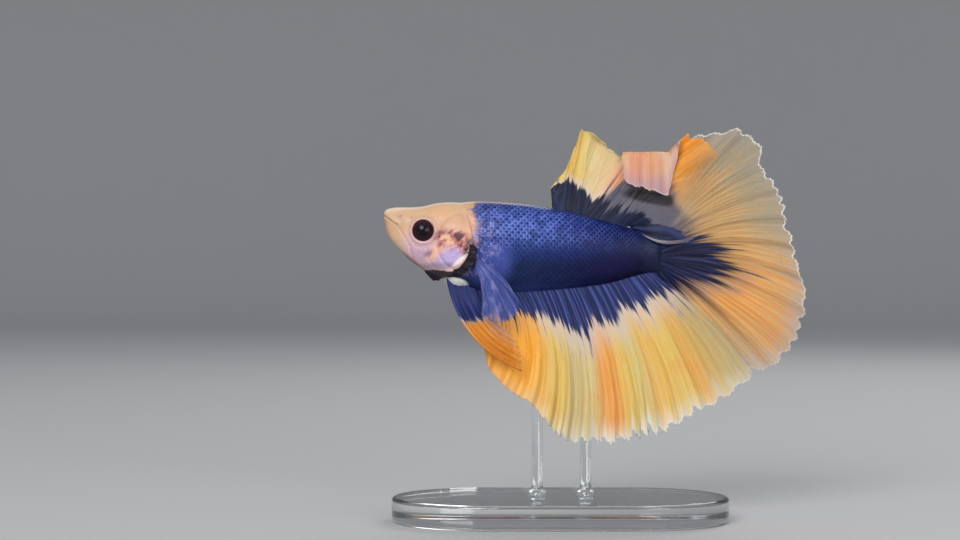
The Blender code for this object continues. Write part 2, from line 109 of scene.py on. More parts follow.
# The body's outline: along, back height, belly height, half width.
BODY_STATIONS = (
    (0.0, 49.3, 48.3, 0.45), (0.35, 49.8, 47.2, 0.85), (1.0, 50.05, 45.7, 1.25), (2.3, 50.2, 43.6, 1.8),
    (3.9, 50.2, 41.9, 2.4), (5.8, 50.3, 40.5, 2.9), (8.7, 50.9, 38.9, 3.5), (12.0, 51.1, 37.5, 3.95),
    (15.4, 51.15, 36.9, 3.95), (21.9, 50.8, 36.6, 3.75), (28.2, 49.8, 37.0, 3.4),
    (35.2, 48.1, 37.8, 2.85), (STEM_END, 46.2, 39.6, 1.5), (SKIN_END, 46.1, 39.6, 0.28),
)
WIDEST_SHARE = 0.52
BACK_ROUNDNESS = 2.15
BELLY_ROUNDNESS = 1.9
GILL_END = 14.2
GILL_SWEEP_TOP = 2.2
GILL_SWEEP_BOTTOM = 6.0
GILL_COVER_CENTRE = (12.6, 44.6)
GILL_COVER_RADII = (4.2, 4.7)

FIN_ROOT_GAP = 0.35
FIN_MAP = "FinMap"  # a fin's own map: across the rays, and from root to edge
SCALE_MAP = "ScaleMap"  # a scale's own map: from its root to its free edge, and across
COAT_MAP = "OFBake"


# ---------------------------------------------------------------- curves
def smooth(low, high, value):
    """Rises smoothly from 0 at low to 1 at high."""
    share = np.clip((value - low) / (high - low), 0.0, 1.0)
    return share * share * (3 - 2 * share)


def keyed(keys, where):
    """Smooth curves through rows of a position and its values, as one array for each value."""
    rows = np.array(keys, dtype=float)
    x, y = rows[:, 0], rows[:, 1:]
    rises = np.diff(y, axis=0) / np.diff(x)[:, None]
    product = rises[:-1] * rises[1:]
    total = np.where(rises[:-1] + rises[1:] == 0, 1.0, rises[:-1] + rises[1:])
    slopes = np.concatenate([rises[:1], np.where(product > 0, 2 * product / total, 0), rises[-1:]])
    where = np.asarray(where, dtype=float)
    i = np.clip(np.searchsorted(x, where, side="right") - 1, 0, len(x) - 2)
    span = x[i + 1] - x[i]
    t = np.clip((where - x[i]) / span, 0, 1)
    made = []
    for k in range(y.shape[1]):
        start, end = y[i, k], y[i + 1, k]
        made.append(
            (1 + 2 * t) * (1 - t) ** 2 * start
            + t * (1 - t) ** 2 * span * slopes[i, k]
            + t * t * (3 - 2 * t) * end
            + t * t * (t - 1) * span * slopes[i + 1, k]
        )
    return made


def bump_at(distance, width):
    """1 at no distance, falling off as a bell curve."""
    return np.exp(-((distance / width) ** 2))


def wave(count, place, shift=0.0):
    """That many waves over a distance of 1."""
    return np.sin(2 * math.pi * count * place + shift)


# ---------------------------------------------------------------- the body's surface
def spine_side(along):
    share = np.maximum(0.0, along - BEND_START) / (STEM_END - BEND_START)
    return BEND_END_OFFSET * np.where(share > 1, 2 * share - 1, share * share)


def body_section(along):
    """Back height, belly height, half width and height of the widest point."""
    back, belly, half_width = keyed(BODY_STATIONS, along)
    return back, belly, half_width, belly + WIDEST_SHARE * (back - belly)


def body_point(along, angle, offset=0.0):
    """Points of the body's surface. Angle 0 is the right side (+Y), 90 degrees the back."""
    back, belly, half_width, middle = body_section(along)
    c, s = np.cos(angle), np.sin(angle)
    power = 2 / np.where(s > 0, BACK_ROUNDNESS, BELLY_ROUNDNESS)
    reach = np.where(s > 0, back - middle, middle - belly)
    side = np.sign(c) * np.abs(c) ** power * np.maximum(half_width + offset, 0.02)
    rise = np.sign(s) * np.abs(s) ** power * (reach + offset)
    return np.stack(np.broadcast_arrays(along, spine_side(along) + side, middle + rise), axis=-1)


def belly_under(along, side):
    """The body's underside at this distance from the middle plane."""
    _, belly, half_width, middle = body_section(along)
    share = np.clip(np.abs(side - spine_side(along)) / half_width, 0, 1)
    return middle - (middle - belly) * (1 - share**BELLY_ROUNDNESS) ** (1 / BELLY_ROUNDNESS)


def gill_line(angle):
    """Where the head ends at this angle: furthest back at the side, swept forward elsewhere."""
    s = np.sin(angle)
    below = GILL_END - GILL_SWEEP_BOTTOM * np.abs(s) ** 2.5
    return np.where(s > 0, GILL_END - GILL_SWEEP_TOP * s * s, below)


# ---------------------------------------------------------------- meshes
def mesh_piece(name, points, faces, finish, maps=None, floats=None):
    """A finished piece from points (along, side, height). maps and floats hold a value for each point."""
    places = np.asarray(points, dtype=float).reshape(-1, 3) + (MOUTH_X, 0, 0)
    mesh = bpy.data.meshes.new(name)
    mesh.from_pydata((places * MM).tolist(), [], faces)
    corners = np.empty(len(mesh.loops), dtype=np.int32)
    mesh.loops.foreach_get("vertex_index", corners)
    for key, values in (maps or {}).items():
        layer = mesh.uv_layers.new(name=key)
        layer.data.foreach_set("uv", np.asarray(values, dtype=np.float32)[corners].ravel())
    for key, values in (floats or {}).items():
        layer = mesh.attributes.new(key, "FLOAT", "POINT")
        layer.data.foreach_set("value", np.asarray(values, dtype=np.float32).ravel())
    mesh.shade_smooth()
    mesh.materials.append(finish)
    made = bpy.data.objects.new(name, mesh)
    bpy.context.scene.collection.objects.link(made)
    return made


def grid_faces(columns, rows, start=0, flip=False):
    """The faces of a grid of points, rows quickest."""
    a = start + np.arange(columns - 1)[:, None] * rows + np.arange(rows - 1)[None, :]
    b = a + rows
    quads = np.stack([a, a + 1, b + 1, b] if flip else [a, b, b + 1, a + 1], axis=-1)
    return quads.reshape(-1, 4).tolist()


def settle(piece, slot, *nodes):
    """Puts the piece on the body and hides the solids that it stands for."""
    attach(piece, BODY)
    if nodes:
        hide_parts(*nodes)
    return piece


def deselect():
    for each in bpy.context.view_layer.objects:
        each.select_set(False)


def started(name, finish=None):
    """The primitive just added, named and alone in the selection."""
    made = bpy.context.object
    made.name = name
    made.data.name = name
    if finish:
        made.data.materials.append(finish)
    return made


def pick(made, test, kind="verts"):
    """Selects the vertices, edges or faces of a mesh in edit mode that pass a test of their centre."""
    shape = bmesh.from_edit_mesh(made.data)
    for each in (*shape.verts, *shape.edges, *shape.faces):
        each.select = False
    for each in getattr(shape, kind):
        if kind == "verts":
            centre = each.co
        else:
            centre = sum((v.co for v in each.verts), Vector()) / len(each.verts)
        if test(centre / MM, each):
            each.select_set(True)
    shape.select_flush_mode()
    bmesh.update_edit_mesh(made.data)


def edit_mode(made, select="VERT"):
    bpy.context.view_layer.objects.active = made
    bpy.ops.object.mode_set(mode="EDIT")
    bpy.ops.mesh.select_mode(type=select)


def object_mode():
    bpy.ops.object.mode_set(mode="OBJECT")


def finish_shape(made, sharp_degrees=35):
    """Puts the piece's place in its mesh and shades it smooth between its sharp edges."""
    deselect()
    made.select_set(True)
    bpy.context.view_layer.objects.active = made
    bpy.ops.object.transform_apply(location=True, rotation=True, scale=True)
    bpy.ops.object.shade_smooth_by_angle(angle=math.radians(sharp_degrees))


# ---------------------------------------------------------------- materials
class Paint:
    """A material's nodes, added a call at a time. A value is a number, a colour or a socket."""

    def __init__(self, name):
        self.material = bpy.data.materials.new(name)
        self.material.use_nodes = True
        self.tree = self.material.node_tree
        self.shader = self.tree.nodes["Principled BSDF"]
        self.output = self.tree.nodes["Material Output"]

    def node(self, kind, **settings):
        made = self.tree.nodes.new(kind)
        for key, value in settings.items():
            setattr(made, key, value)
        return made

    def put(self, value, socket):
        if isinstance(value, bpy.types.NodeSocket):
            self.tree.links.new(value, socket)
        elif socket.type == "RGBA":
            socket.default_value = (*value[:3], 1.0)
        else:
            socket.default_value = value

    def set(self, **values):
        """Sets the main shader's sockets, such as Base_Color, and gives the material."""
        for key, value in values.items():
            self.put(value, self.shader.inputs[key.replace("_", " ")])
        return self.material

    def math(self, operation, a, b=0.0, c=0.0):
        made = self.node("ShaderNodeMath", operation=operation)
        for value, socket in zip((a, b, c), made.inputs):
            self.put(value, socket)
        return made.outputs[0]

    def add(self, a, b):
        return self.math("ADD", a, b)

    def less(self, a, b):
        return self.math("SUBTRACT", a, b)

    def times(self, product, *others):
        for other in others:
            product = self.math("MULTIPLY", product, other)
        return product

    def length(self, x, y):
        return self.math("SQRT", self.add(self.times(x, x), self.times(y, y)))

    def swing(self, value, amount, base=None):
        """A value of 0 to 1 as a change of up to amount/2 either way, added to a base."""
        return self.math("MULTIPLY_ADD", self.less(value, 0.5), amount, 0.0 if base is None else base)

    def ease(self, value, low, high, bottom=0.0, top=1.0):
        """Goes smoothly from bottom at low to top at high, which may be the lower number."""
        made = self.node("ShaderNodeMapRange", interpolation_type="SMOOTHSTEP")
        for key, number in (("Value", value), ("From Min", low), ("From Max", high)):
            self.put(number, made.inputs[key])
        if (bottom, top) == (0.0, 1.0):
            return made.outputs[0]
        return self.math("MULTIPLY_ADD", made.outputs[0], top - bottom, bottom)

    def mix(self, share, a, b, blend="MIX"):
        made = self.node("ShaderNodeMix", data_type="RGBA", blend_type=blend)
        for value, socket in ((share, 0), (a, 6), (b, 7)):
            self.put(value, made.inputs[socket])
        return made.outputs[2]

    def mix_shaders(self, share, a, b):
        made = self.node("ShaderNodeMixShader")
        for value, socket in zip((share, a, b), made.inputs):
            self.put(value, socket)
        return made.outputs[0]

    def ramp(self, value, stops):
        """A colour, or a grey level, by place along the ramp."""
        made = self.node("ShaderNodeValToRGB")
        elements = made.color_ramp.elements
        while len(elements) < len(stops):
            elements.new(1.0)
        for element, (place, colour) in zip(elements, stops):
            element.position = place
            grey = isinstance(colour, (int, float))
            element.color = (colour, colour, colour, 1.0) if grey else (*colour, 1.0)
        self.put(value, made.inputs[0])
        return made.outputs[0]

    def combine(self, x, y, z=0.0):
        made = self.node("ShaderNodeCombineXYZ")
        for value, socket in zip((x, y, z), made.inputs):
            self.put(value, socket)
        return made.outputs[0]

    def split(self, vector):
        made = self.node("ShaderNodeSeparateXYZ")
        self.put(vector, made.inputs[0])
        return made.outputs[0], made.outputs[1], made.outputs[2]

    def noise(self, place, scale, detail=2.0, roughness=0.5):
        made = self.node("ShaderNodeTexNoise")
        self.put(place, made.inputs["Vector"])
        for key, value in (("Scale", scale), ("Detail", detail), ("Roughness", roughness)):
            self.put(value, made.inputs[key])
        return made.outputs[0]

    def cells(self, place, scale):
        made = self.node("ShaderNodeTexVoronoi", feature="SMOOTH_F1")
        self.put(place, made.inputs["Vector"])
        self.put(scale, made.inputs["Scale"])
        return made.outputs["Distance"]

    def fish_place(self):
        """The place in millimetres, with x as the distance behind the mouth."""
        made = self.node("ShaderNodeVectorMath", operation="MULTIPLY_ADD")
        self.put(self.node("ShaderNodeTexCoord").outputs["Object"], made.inputs[0])
        made.inputs[1].default_value = (1 / MM, 1 / MM, 1 / MM)
        made.inputs[2].default_value = (-MOUTH_X, 0, 0)
        return made.outputs[0]

    def own_map(self, name):
        """The two axes of the piece's own map."""
        x, y, _ = self.split(self.node("ShaderNodeUVMap", uv_map=name).outputs[0])
        return x, y

    def ray(self):
        """How near each place of a fin is to a ray."""
        return self.node("ShaderNodeAttribute", attribute_name="ray").outputs["Fac"]

    def turned(self, flank, centre, radii, degrees):
        """The flank measured from a centre, in radii, along axes turned to rise rearwards."""
        made = self.node("ShaderNodeMapping", vector_type="TEXTURE")
        self.put(flank, made.inputs["Vector"])
        made.inputs["Location"].default_value = (centre[0], 0, centre[1])
        made.inputs["Rotation"].default_value = (0, -math.radians(degrees), 0)
        made.inputs["Scale"].default_value = (radii[0], 1, radii[1])
        return made.outputs[0]

    def spot(self, flank, centre, radii, turn=0.0, soft=0.35):
        """1 inside an ellipse on the flank, falling to 0 around it. Turned in degrees, rising rearwards."""
        reach = self.node("ShaderNodeVectorMath", operation="LENGTH")
        self.put(self.turned(flank, centre, radii, turn), reach.inputs[0])
        return self.ease(reach.outputs["Value"], 1 + soft, 1 - soft)

    def bump(self, height, strength, distance, after=None):
        made = self.node("ShaderNodeBump")
        self.put(height, made.inputs["Height"])
        self.put(strength, made.inputs["Strength"])
        self.put(distance * MM, made.inputs["Distance"])
        if after:
            self.put(after, made.inputs["Normal"])
        return made.outputs[0]


# ---------------------------------------------------------------- markings of skin and scales
FLANK_LOW, FLANK_HIGH = 36.0, 52.0  # heights between which the flank's colours are keyed
# Height, and how far back the face's colours reach there.
HEAD_EDGE = (
    (36.0, 9.6), (38.2, 10.9), (39.6, 12.2), (41.2, 13.5), (43.2, 14.3), (45.5, 14.6), (47.3, 14.8),
    (49.2, 14.0), (51.2, 14.4),
)
HEAD_EDGE_SPAN = 20.0  # brings such a distance into a ramp's 0 to 1
FACE_LENGTH = 15.0  # the face's main colours run over this distance
# Height, and the flank's colour there.
FLANK_COLOURS = (
    (36.0, (0.02, 0.04, 0.2)), (37.2, (0.012, 0.024, 0.12)), (38.1, (0.006, 0.014, 0.06)),
    (41.4, (0.006, 0.013, 0.056)), (42.1, (0.006, 0.018, 0.095)), (44.0, (0.008, 0.023, 0.125)),
    (47.0, (0.012, 0.031, 0.15)), (49.3, (0.012, 0.028, 0.135)), (50.9, (0.018, 0.03, 0.1)),
)
# Distance behind the mouth, and how high the black under the cheek reaches.
BEARD_TOP = (
    (5.2, 36.0), (6.0, 40.1), (8.6, 40.2), (10.8, 39.9), (11.7, 40.1), (12.6, 41.2), (13.7, 42.6),
    (14.3, 43.8),
)


def on_flank(height):
    return (height - FLANK_LOW) / (FLANK_HIGH - FLANK_LOW)


def on_flank_node(paint, height):
    return paint.math("MULTIPLY_ADD", height, 1 / (FLANK_HIGH - FLANK_LOW), on_flank(0.0))


def flank_ramp(paint, height, stops):
    """A ramp up the flank from rows of a height and its value."""
    return paint.ramp(on_flank_node(paint, height), [(on_flank(h), value) for h, value in stops])


def face_colours(paint, flank, along, height, fine):
    """Peach and cream, with a lavender cheek, maroon streaks behind the eye and a black beard."""
    colour = paint.ramp(
        paint.times(along, 1 / FACE_LENGTH),
        [(0.0, (0.56, 0.36, 0.21)), (0.4, (0.6, 0.38, 0.24)), (0.9, (0.64, 0.36, 0.23))],
    )

    def lay(amount, where, tint):
        """Lays a tint over the colour so far."""
        nonlocal colour
        colour = paint.mix(paint.times(where, amount), colour, tint)

    lay(1.0, paint.ease(height, 48.2, 50.2), (0.62, 0.4, 0.23))
    colour = paint.mix(paint.ease(height, 44.5, 48.0), colour, (0.78, 0.8, 0.8), "MULTIPLY")
    lay(0.5, paint.spot(flank, (9.4, 48.9), (1.3, 0.8), 0, 0.8), (0.6, 0.31, 0.16))
    lay(0.9, paint.spot(flank, (6.2, 43.4), (3.5, 2.4), -25, 0.5), (0.52, 0.35, 0.4))
    lay(0.8, paint.spot(flank, (7.3, 41.8), (3.0, 1.5), -28, 0.5), (0.42, 0.3, 0.4))
    lay(1.0, paint.spot(flank, (8.6, 43.2), (2.2, 0.8), 46, 0.6), (0.66, 0.38, 0.29))
    cheek = paint.spot(flank, (10.8, 42.3), (2.1, 1.4), 28, 0.5)
    lay(1.0, paint.times(cheek, paint.ease(fine, 0.25, 0.55, 0.6, 1.0)), (0.42, 0.34, 0.62))
    # Streaks that each rise rearwards, in a row that falls from under the eye to the gill cover.
    streaks = paint.noise(paint.turned(flank, (0, 0), (2.6, 1.1), 38), 1.0, 3.0, 0.6)
    zone = paint.spot(flank, (11.2, 44.8), (3.3, 1.7), -18, 0.4)
    lay(0.85, paint.times(paint.ease(streaks, 0.41, 0.53), zone), (0.32, 0.09, 0.1))
    lay(0.9, paint.times(paint.ease(streaks, 0.52, 0.6), zone), (0.06, 0.02, 0.035))
    lay(
        0.7,
        paint.times(paint.spot(flank, (7.2, 42.8), (0.75, 0.42), 30, 0.6), paint.ease(fine, 0.3, 0.5)),
        (0.16, 0.07, 0.12),
    )
    # Dark behind the gill cover's edge: partly the dark fringe's own colour, partly painted shade in the gap
    # under the cover.
    gill_gap_shade_and_fringe = paint.spot(flank, (13.6, 43.5), (0.8, 1.9), -14, 0.5)
    lay(1.0, paint.times(gill_gap_shade_and_fringe, paint.ease(fine, 0.35, 0.6, 0.4, 1.0)), (0.04, 0.016, 0.03))
    # Painted shade: violet-grey along the underside of the head.
    lay(0.75, paint.spot(flank, (8.8, 40.7), (3.2, 0.6), 0, 0.6), (0.23, 0.18, 0.26))
    lay(0.85, paint.spot(flank, (4.5, 41.5), (2.9, 0.42), -39, 0.7), (0.15, 0.09, 0.12))
    lay(0.95, paint.spot(flank, (12.1, 41.6), (1.45, 0.34), 40, 0.5), (0.66, 0.64, 0.63))
    lay(0.4, paint.spot(flank, (6.4, 46.4), (2.3, 2.3), 0, 0.15), (0.5, 0.3, 0.33))
    beard_top = paint.ramp(
        paint.times(along, 1 / HEAD_EDGE_SPAN), [(a / HEAD_EDGE_SPAN, on_flank(h)) for a, h in BEARD_TOP],
    )
    beard_edge = paint.swing(fine, 0.03, paint.less(on_flank_node(paint, height), beard_top))
    beard = paint.times(paint.ease(beard_edge, 0.008, -0.008), paint.ease(along, 5.4, 5.9))
    lay(0.97, beard, (0.008, 0.005, 0.01))
    return paint.mix(paint.ease(fine, 0.3, 0.8, 0.0, 0.22), colour, (0.8, 0.55, 0.42), "MULTIPLY")


def body_colours(paint):
    """The colour at each place of the body, the same for skin and scales, and where it leaves the face."""
    place = paint.fish_place()
    along, side, height = paint.split(place)
    flank = paint.combine(along, 0.0, height)
    coarse = paint.noise(place, 0.32, 2.0)
    medium = paint.noise(place, 0.95, 3.0)
    fine = paint.noise(place, 2.6, 3.0)
    ragged_along = paint.swing(fine, 1.6, paint.swing(medium, 3.2, along))
    ragged_height = paint.swing(coarse, 1.3, paint.swing(medium, 0.7, height))

    blue = flank_ramp(paint, ragged_height, FLANK_COLOURS)
    # A painted highlight: a brighter blue patch on the upper flank.
    painted_highlight = paint.spot(flank, (22.5, 47.6), (7.5, 2.4), -5, 0.6)
    painted_highlight = paint.times(painted_highlight, paint.ease(medium, 0.38, 0.68), 0.85)
    blue = paint.mix(painted_highlight, blue, (0.09, 0.13, 0.42))
    shoulder = paint.spot(flank, (17.4, 41.0), (2.8, 3.6), -20, 0.5)
    blue = paint.mix(paint.times(shoulder, 0.75), blue, (0.05, 0.075, 0.3))
    rear = paint.ease(along, 19.0, 40.5, 1.0, 0.07)
    blue = paint.mix(1.0, blue, paint.combine(rear, rear, paint.math("SQRT", rear)), "MULTIPLY")
    blue = paint.mix(paint.ease(ragged_along, 40.2, 42.4), blue, (0.006, 0.009, 0.032))

    head_edge = flank_ramp(paint, height, [(h, back / HEAD_EDGE_SPAN) for h, back in HEAD_EDGE])
    reach = paint.times(head_edge, HEAD_EDGE_SPAN)
    behind = paint.less(ragged_along, reach)
    # Behind the gill cover, flecks of the face's colours thin out over the blue.
    thinning = paint.ease(paint.less(along, reach), 6.2, 0.5)
    reached = paint.times(
        thinning, paint.times(paint.ease(height, 38.6, 40.4), paint.ease(height, 49.6, 46.0, 0.35)),
    )
    speck = paint.ease(paint.add(paint.times(medium, 0.65), paint.times(fine, 0.35)), 0.43, 0.6)
    mottle = paint.mix(paint.ease(fine, 0.38, 0.64), (0.12, 0.12, 0.4), (0.4, 0.32, 0.48))
    blue = paint.mix(paint.times(speck, reached, 0.75), blue, mottle)
    plum = paint.times(paint.spot(flank, (37.0, 40.8), (4.0, 1.4), 8, 0.6), 0.5)
    blue = paint.mix(plum, blue, (0.009, 0.006, 0.05))
    face = face_colours(paint, flank, along, height, fine)
    colour = paint.mix(paint.ease(behind, 0.8, -0.7), blue, face)

    middle = paint.math("ABSOLUTE", side)
    crown = paint.times(paint.ease(middle, 1.5, 0.7), paint.ease(height, 48.8, 50.2))
    crown = paint.times(crown, paint.ease(ragged_along, 28.0, 20.0), 0.8)
    colour = paint.mix(crown, colour, (0.62, 0.5, 0.42))
    # Dark along the gill cover's free edge: partly the dark fringe's own colour, partly painted shade in the
    # gap under the cover.
    slit = paint.times(
        paint.ease(paint.math("ABSOLUTE", paint.less(paint.less(along, reach), 0.1)), 0.75, 0.25),
        paint.times(paint.ease(height, 38.4, 39.2), paint.ease(height, 44.6, 43.0)),
    )
    colour = paint.mix(paint.times(slit, 0.9), colour, (0.012, 0.009, 0.018))
    throat = paint.spot(flank, (11.0, 38.0), (2.4, 1.0), -5, 0.15)
    return paint.mix(throat, colour, (0.5, 0.52, 0.48)), place, fine, paint.ease(behind, 0.3, 1.6)


def skin_finish():
    paint = Paint("betta_skin")
    colour, place, fine, _ = body_colours(paint)
    pores = paint.cells(place, 1.7)
    grain = paint.noise(place, 7.0, 2.0)
    normal = paint.bump(pores, 0.35, 0.12)
    normal = paint.bump(grain, 0.3, 0.04, normal)
    return paint.set(
        Base_Color=colour, Roughness=paint.ease(fine, 0.3, 0.7, 0.34, 0.5), Normal=normal,
        Specular_IOR_Level=0.22, Coat_Weight=0.05, Coat_Roughness=0.2, Subsurface_Weight=0.08,
        Subsurface_Scale=0.001,
    )


def scale_finish():
    """The skin's markings, with painted light and shade on each scale: a painted shadow where the scale
    before overlaps it, a painted dark rim and a painted highlight towards its free edge.
    """
    paint = Paint("betta_scales")
    colour, place, fine, off_face = body_colours(paint)
    rearwards, across = paint.own_map(SCALE_MAP)
    off_middle = paint.math("ABSOLUTE", paint.less(across, 0.5))
    ahead = paint.less(rearwards, 0.5)
    out = paint.length(ahead, off_middle)
    # Painted shade: a dark rim round the outline, and a shadow where the scale before overlaps it.
    rim = paint.ease(out, 0.44, 0.48)
    shadow = paint.ease(out, 0.34, 0.24)
    # A painted highlight: a lighter band towards the free edge.
    highlight_crescent = paint.times(paint.ease(out, 0.26, 0.38), paint.ease(out, 0.475, 0.445))
    highlight_crescent = paint.times(highlight_crescent, paint.ease(rearwards, 0.6, 0.75))
    along, _, height = paint.split(place)
    upper = paint.ease(height, 42.8, 45.5, 0.1, 1.0)
    upper = paint.times(upper, paint.times(off_face, paint.ease(along, 24.0, 38.0, 1.0, 0.3)))
    patchy = paint.ease(paint.noise(place, 0.7, 2.0), 0.36, 0.64, 0.25, 1.0)
    # Lit and shaded copies of the colour, laid on as painted highlight and painted shade.
    lit = paint.mix(0.42, colour, (0.15, 0.25, 0.8))
    colour = paint.mix(paint.times(highlight_crescent, upper, patchy), colour, lit)
    shaded = paint.mix(1.0, colour, (0.3, 0.32, 0.45), "MULTIPLY")
    painted_shade = paint.math("MAXIMUM", rim, paint.times(shadow, 0.8))
    colour = paint.mix(paint.times(painted_shade, paint.times(upper, 0.8)), colour, shaded)
    ridges = paint.math("SINE", paint.times(paint.add(rearwards, paint.times(off_middle, off_middle)), 70.0))
    return paint.set(
        Base_Color=colour, Metallic=0.08, Roughness=paint.ease(fine, 0.3, 0.7, 0.34, 0.48),
        Normal=paint.bump(ridges, 0.12, 0.02), Specular_IOR_Level=0.14,
    )


# ---------------------------------------------------------------- skin
EYE_LOW, EYE_HIGH = box_mm("eye_left")
EYE_ALONG = (EYE_LOW[0] + EYE_HIGH[0]) / 2 - MOUTH_X
EYE_HEIGHT = (EYE_LOW[2] + EYE_HIGH[2]) / 2
EYE_RADIUS = (EYE_HIGH[0] - EYE_LOW[0]) / 2
MOUTH_LINE = ((-0.5, 49.2), (2.1, 47.35))  # the slit between the lips, as (along, height)
JAW_LINE = ((2.1, 47.35), (4.1, 44.0), (5.0, 40.2))  # the crease that goes on from it
NOSTRILS = ((2.7, 48.75, 0.2), (4.5, 48.55, 0.16))  # along, height, radius
SKIN_AROUND = 224
FIRST_RING = 0.02  # where the skin's first ring stands, behind the mouth tip
LIP_LIMIT = 0.01  # no lip comes nearer to the mouth tip
BARE_SHARE = 0.15  # of the coat's depth, on the head, which has no scales
SKIN_LENGTHS = ((0.0, 5.5, 74), (5.5, 15.8, 92), (15.8, SKIN_END, 96))  # start, end, rings


def off_line(along, height, start, end):
    """The distance from a straight line between two places, and the side of it: + above."""
    a, b = np.array(start), np.array(end)
    run = b - a
    share = np.clip(((along - a[0]) * run[0] + (height - a[1]) * run[1]) / run.dot(run), 0, 1)
    da, dh = along - (a[0] + share * run[0]), height - (a[1] + share * run[1])
    return np.hypot(da, dh), np.sign(dh + da)


def head_relief(along, angle, place):
    """How far the skin stands out beyond the body's plain surface: lips, eye rim, gill cover."""
    height = place[..., 2]
    face_side = smooth(0.25, 0.6, np.abs(np.cos(angle)))
    relief = np.zeros_like(along)

    slit, _ = off_line(along, height, *MOUTH_LINE)
    lips = bump_at(slit, 0.62) * 0.1 - bump_at(slit, 0.11) * 0.3
    relief += lips * smooth(3.0, 2.0, along)
    chin = bump_at(along - 0.9, 0.8) * smooth(48.2, 46.6, height)
    relief += 0.34 * chin
    relief += 0.6 * bump_at(along - 10.9, 2.2) * smooth(-0.6, -0.92, np.sin(angle))
    for start, end in zip(JAW_LINE, JAW_LINE[1:]):
        crease, _ = off_line(along, height, start, end)
        relief -= 0.11 * bump_at(crease, 0.24) * face_side

    out = np.hypot(along - EYE_ALONG, height - EYE_HEIGHT) / EYE_RADIUS
    relief -= 0.9 * np.sqrt(np.clip(1 - (out / 0.86) ** 2, 0, 1)) * face_side
    relief += 0.17 * bump_at(out - 1.02, 0.13) * face_side
    relief -= 0.06 * bump_at(out - 1.35, 0.16) * face_side

    beside = smooth(0.1, 0.4, np.abs(np.cos(angle)))
    for where, level, radius in NOSTRILS:
        hole = np.hypot(along - where, height - level) / radius
        relief += (0.1 * bump_at(hole - 1.3, 0.55) - 0.3 * bump_at(hole, 0.75)) * beside

    # The gill cover: a plate with a groove round its front and a free edge behind.
    oval = np.hypot(
        (along - GILL_COVER_CENTRE[0]) / GILL_COVER_RADII[0],
        (height - GILL_COVER_CENTRE[1]) / GILL_COVER_RADII[1],
    )
    front = smooth(13.2, 12.2, along)
    relief -= 0.13 * bump_at(oval - 1.0, 0.05) * face_side * front
    relief += 0.1 * smooth(1.0, 0.8, oval) * face_side * front
    inner = np.hypot((along - 9.4) / 2.6, (height - 43.6) / 3.4)
    relief -= 0.06 * bump_at(inner - 1.0, 0.07) * face_side * smooth(45.6, 44.2, height)
    behind = along - gill_line(angle)
    flap = smooth(0.75, 0.2, np.sin(angle))
    relief += 0.15 * smooth(-2.2, -0.25, behind) * smooth(0.05, -0.1, behind) * flap
    relief -= 0.34 * smooth(-0.1, 0.12, behind) * smooth(2.6, 0.3, behind) * flap
    return relief


def make_skin(body):
    """One closed surface from the lips to the root of the tail fin."""
    spans = [np.linspace(a, b, count, endpoint=False) for a, b, count in SKIN_LENGTHS]
    lengths = np.concatenate([*spans, [SKIN_LENGTHS[-1][1]]])
    lengths[0] = FIRST_RING
    turns = np.linspace(0, 2 * math.pi, SKIN_AROUND, endpoint=False)
    along, angle = np.meshgrid(lengths, turns, indexing="ij")
    depth = body.coat_depth / MM
    plain = body_point(along, angle)
    forward = np.gradient(plain, axis=0)
    around = np.roll(plain, -1, axis=1) - np.roll(plain, 1, axis=1)
    normal = np.cross(around, forward)
    normal /= np.linalg.norm(normal, axis=-1, keepdims=True)
    outwards = np.sign((normal * (plain - plain.mean(axis=1, keepdims=True))).sum(-1).mean())
    end = smooth(0.0, 1.2, along) * smooth(SKIN_END, STEM_END + 0.6, along)
    covered = BARE_SHARE + (1 - BARE_SHARE) * smooth(-2.0, 0.5, along - gill_line(angle))
    relief = head_relief(along, angle, plain) - depth * covered * end
    points = plain + normal * outwards * relief[..., None]
    points[..., 0] = np.maximum(points[..., 0], LIP_LIMIT)

    rings, count = points.shape[:2]
    faces = []
    for ring in range(rings - 1):
        for i in range(count):
            a, b = ring * count + i, ring * count + (i + 1) % count
            faces.append((a, b, b + count, a + count))
    flat = points.reshape(-1, 3)
    tips = np.stack([points[0].mean(axis=0), points[-1].mean(axis=0)])
    first, last = rings * count, (rings - 1) * count
    for i in range(count):
        faces.append((first, (i + 1) % count, i))
        faces.append((first + 1, last + i, last + (i + 1) % count))
    skin = mesh_piece("fish_skin", np.concatenate([flat, tips]), faces, skin_finish())
    deselect()
    settle(
        skin, "body_scales", "head", "lower_jaw", "gill_cover_left", "gill_cover_right", "trunk",
        "tail_stem",
    )


# ---------------------------------------------------------------- scales
SCALE_ROWS = 40  # tried to each side of the lateral line
SCALE_POINTS = 12  # round a scale's outline
SCALE_RINGS = (0.62, 1.0)  # as shares of its radius
SCALE_START = 8.0
SCALE_HALF_LENGTH, SCALE_HALF_WIDTH = 0.98, 1.12  # as shares of the pitch in a row and between rows
SCALE_SEED = 11
SCALE_SHARP_DEGREES = 50


def scale_template():
    """One scale, about 2 long and 2 wide: points (rearwards, across, is it the lower face), and faces."""
    turns = np.arange(SCALE_POINTS) * 2 * math.pi / SCALE_POINTS
    points = [(0.0, 0.0, 0.0)]
    for ring in SCALE_RINGS:
        points += [(ring * math.cos(turn), ring * math.sin(turn), 0.0) for turn in turns]
    points += [(math.cos(turn), math.sin(turn), 1.0) for turn in turns]
    points.append((0.0, 0.0, 1.0))
    faces = [(0, 1 + i, 1 + (i + 1) % SCALE_POINTS) for i in range(SCALE_POINTS)]
    for ring in range(len(SCALE_RINGS)):
        start = 1 + ring * SCALE_POINTS
        for i in range(SCALE_POINTS):
            a, b = start + i, start + (i + 1) % SCALE_POINTS
            faces.append((a, a + SCALE_POINTS, b + SCALE_POINTS, b))
    last = len(points) - 1
    for i in range(SCALE_POINTS):
        a, b = last - SCALE_POINTS + i, last - SCALE_POINTS + (i + 1) % SCALE_POINTS
        faces.append((a, last, b))
    return np.array(points), faces


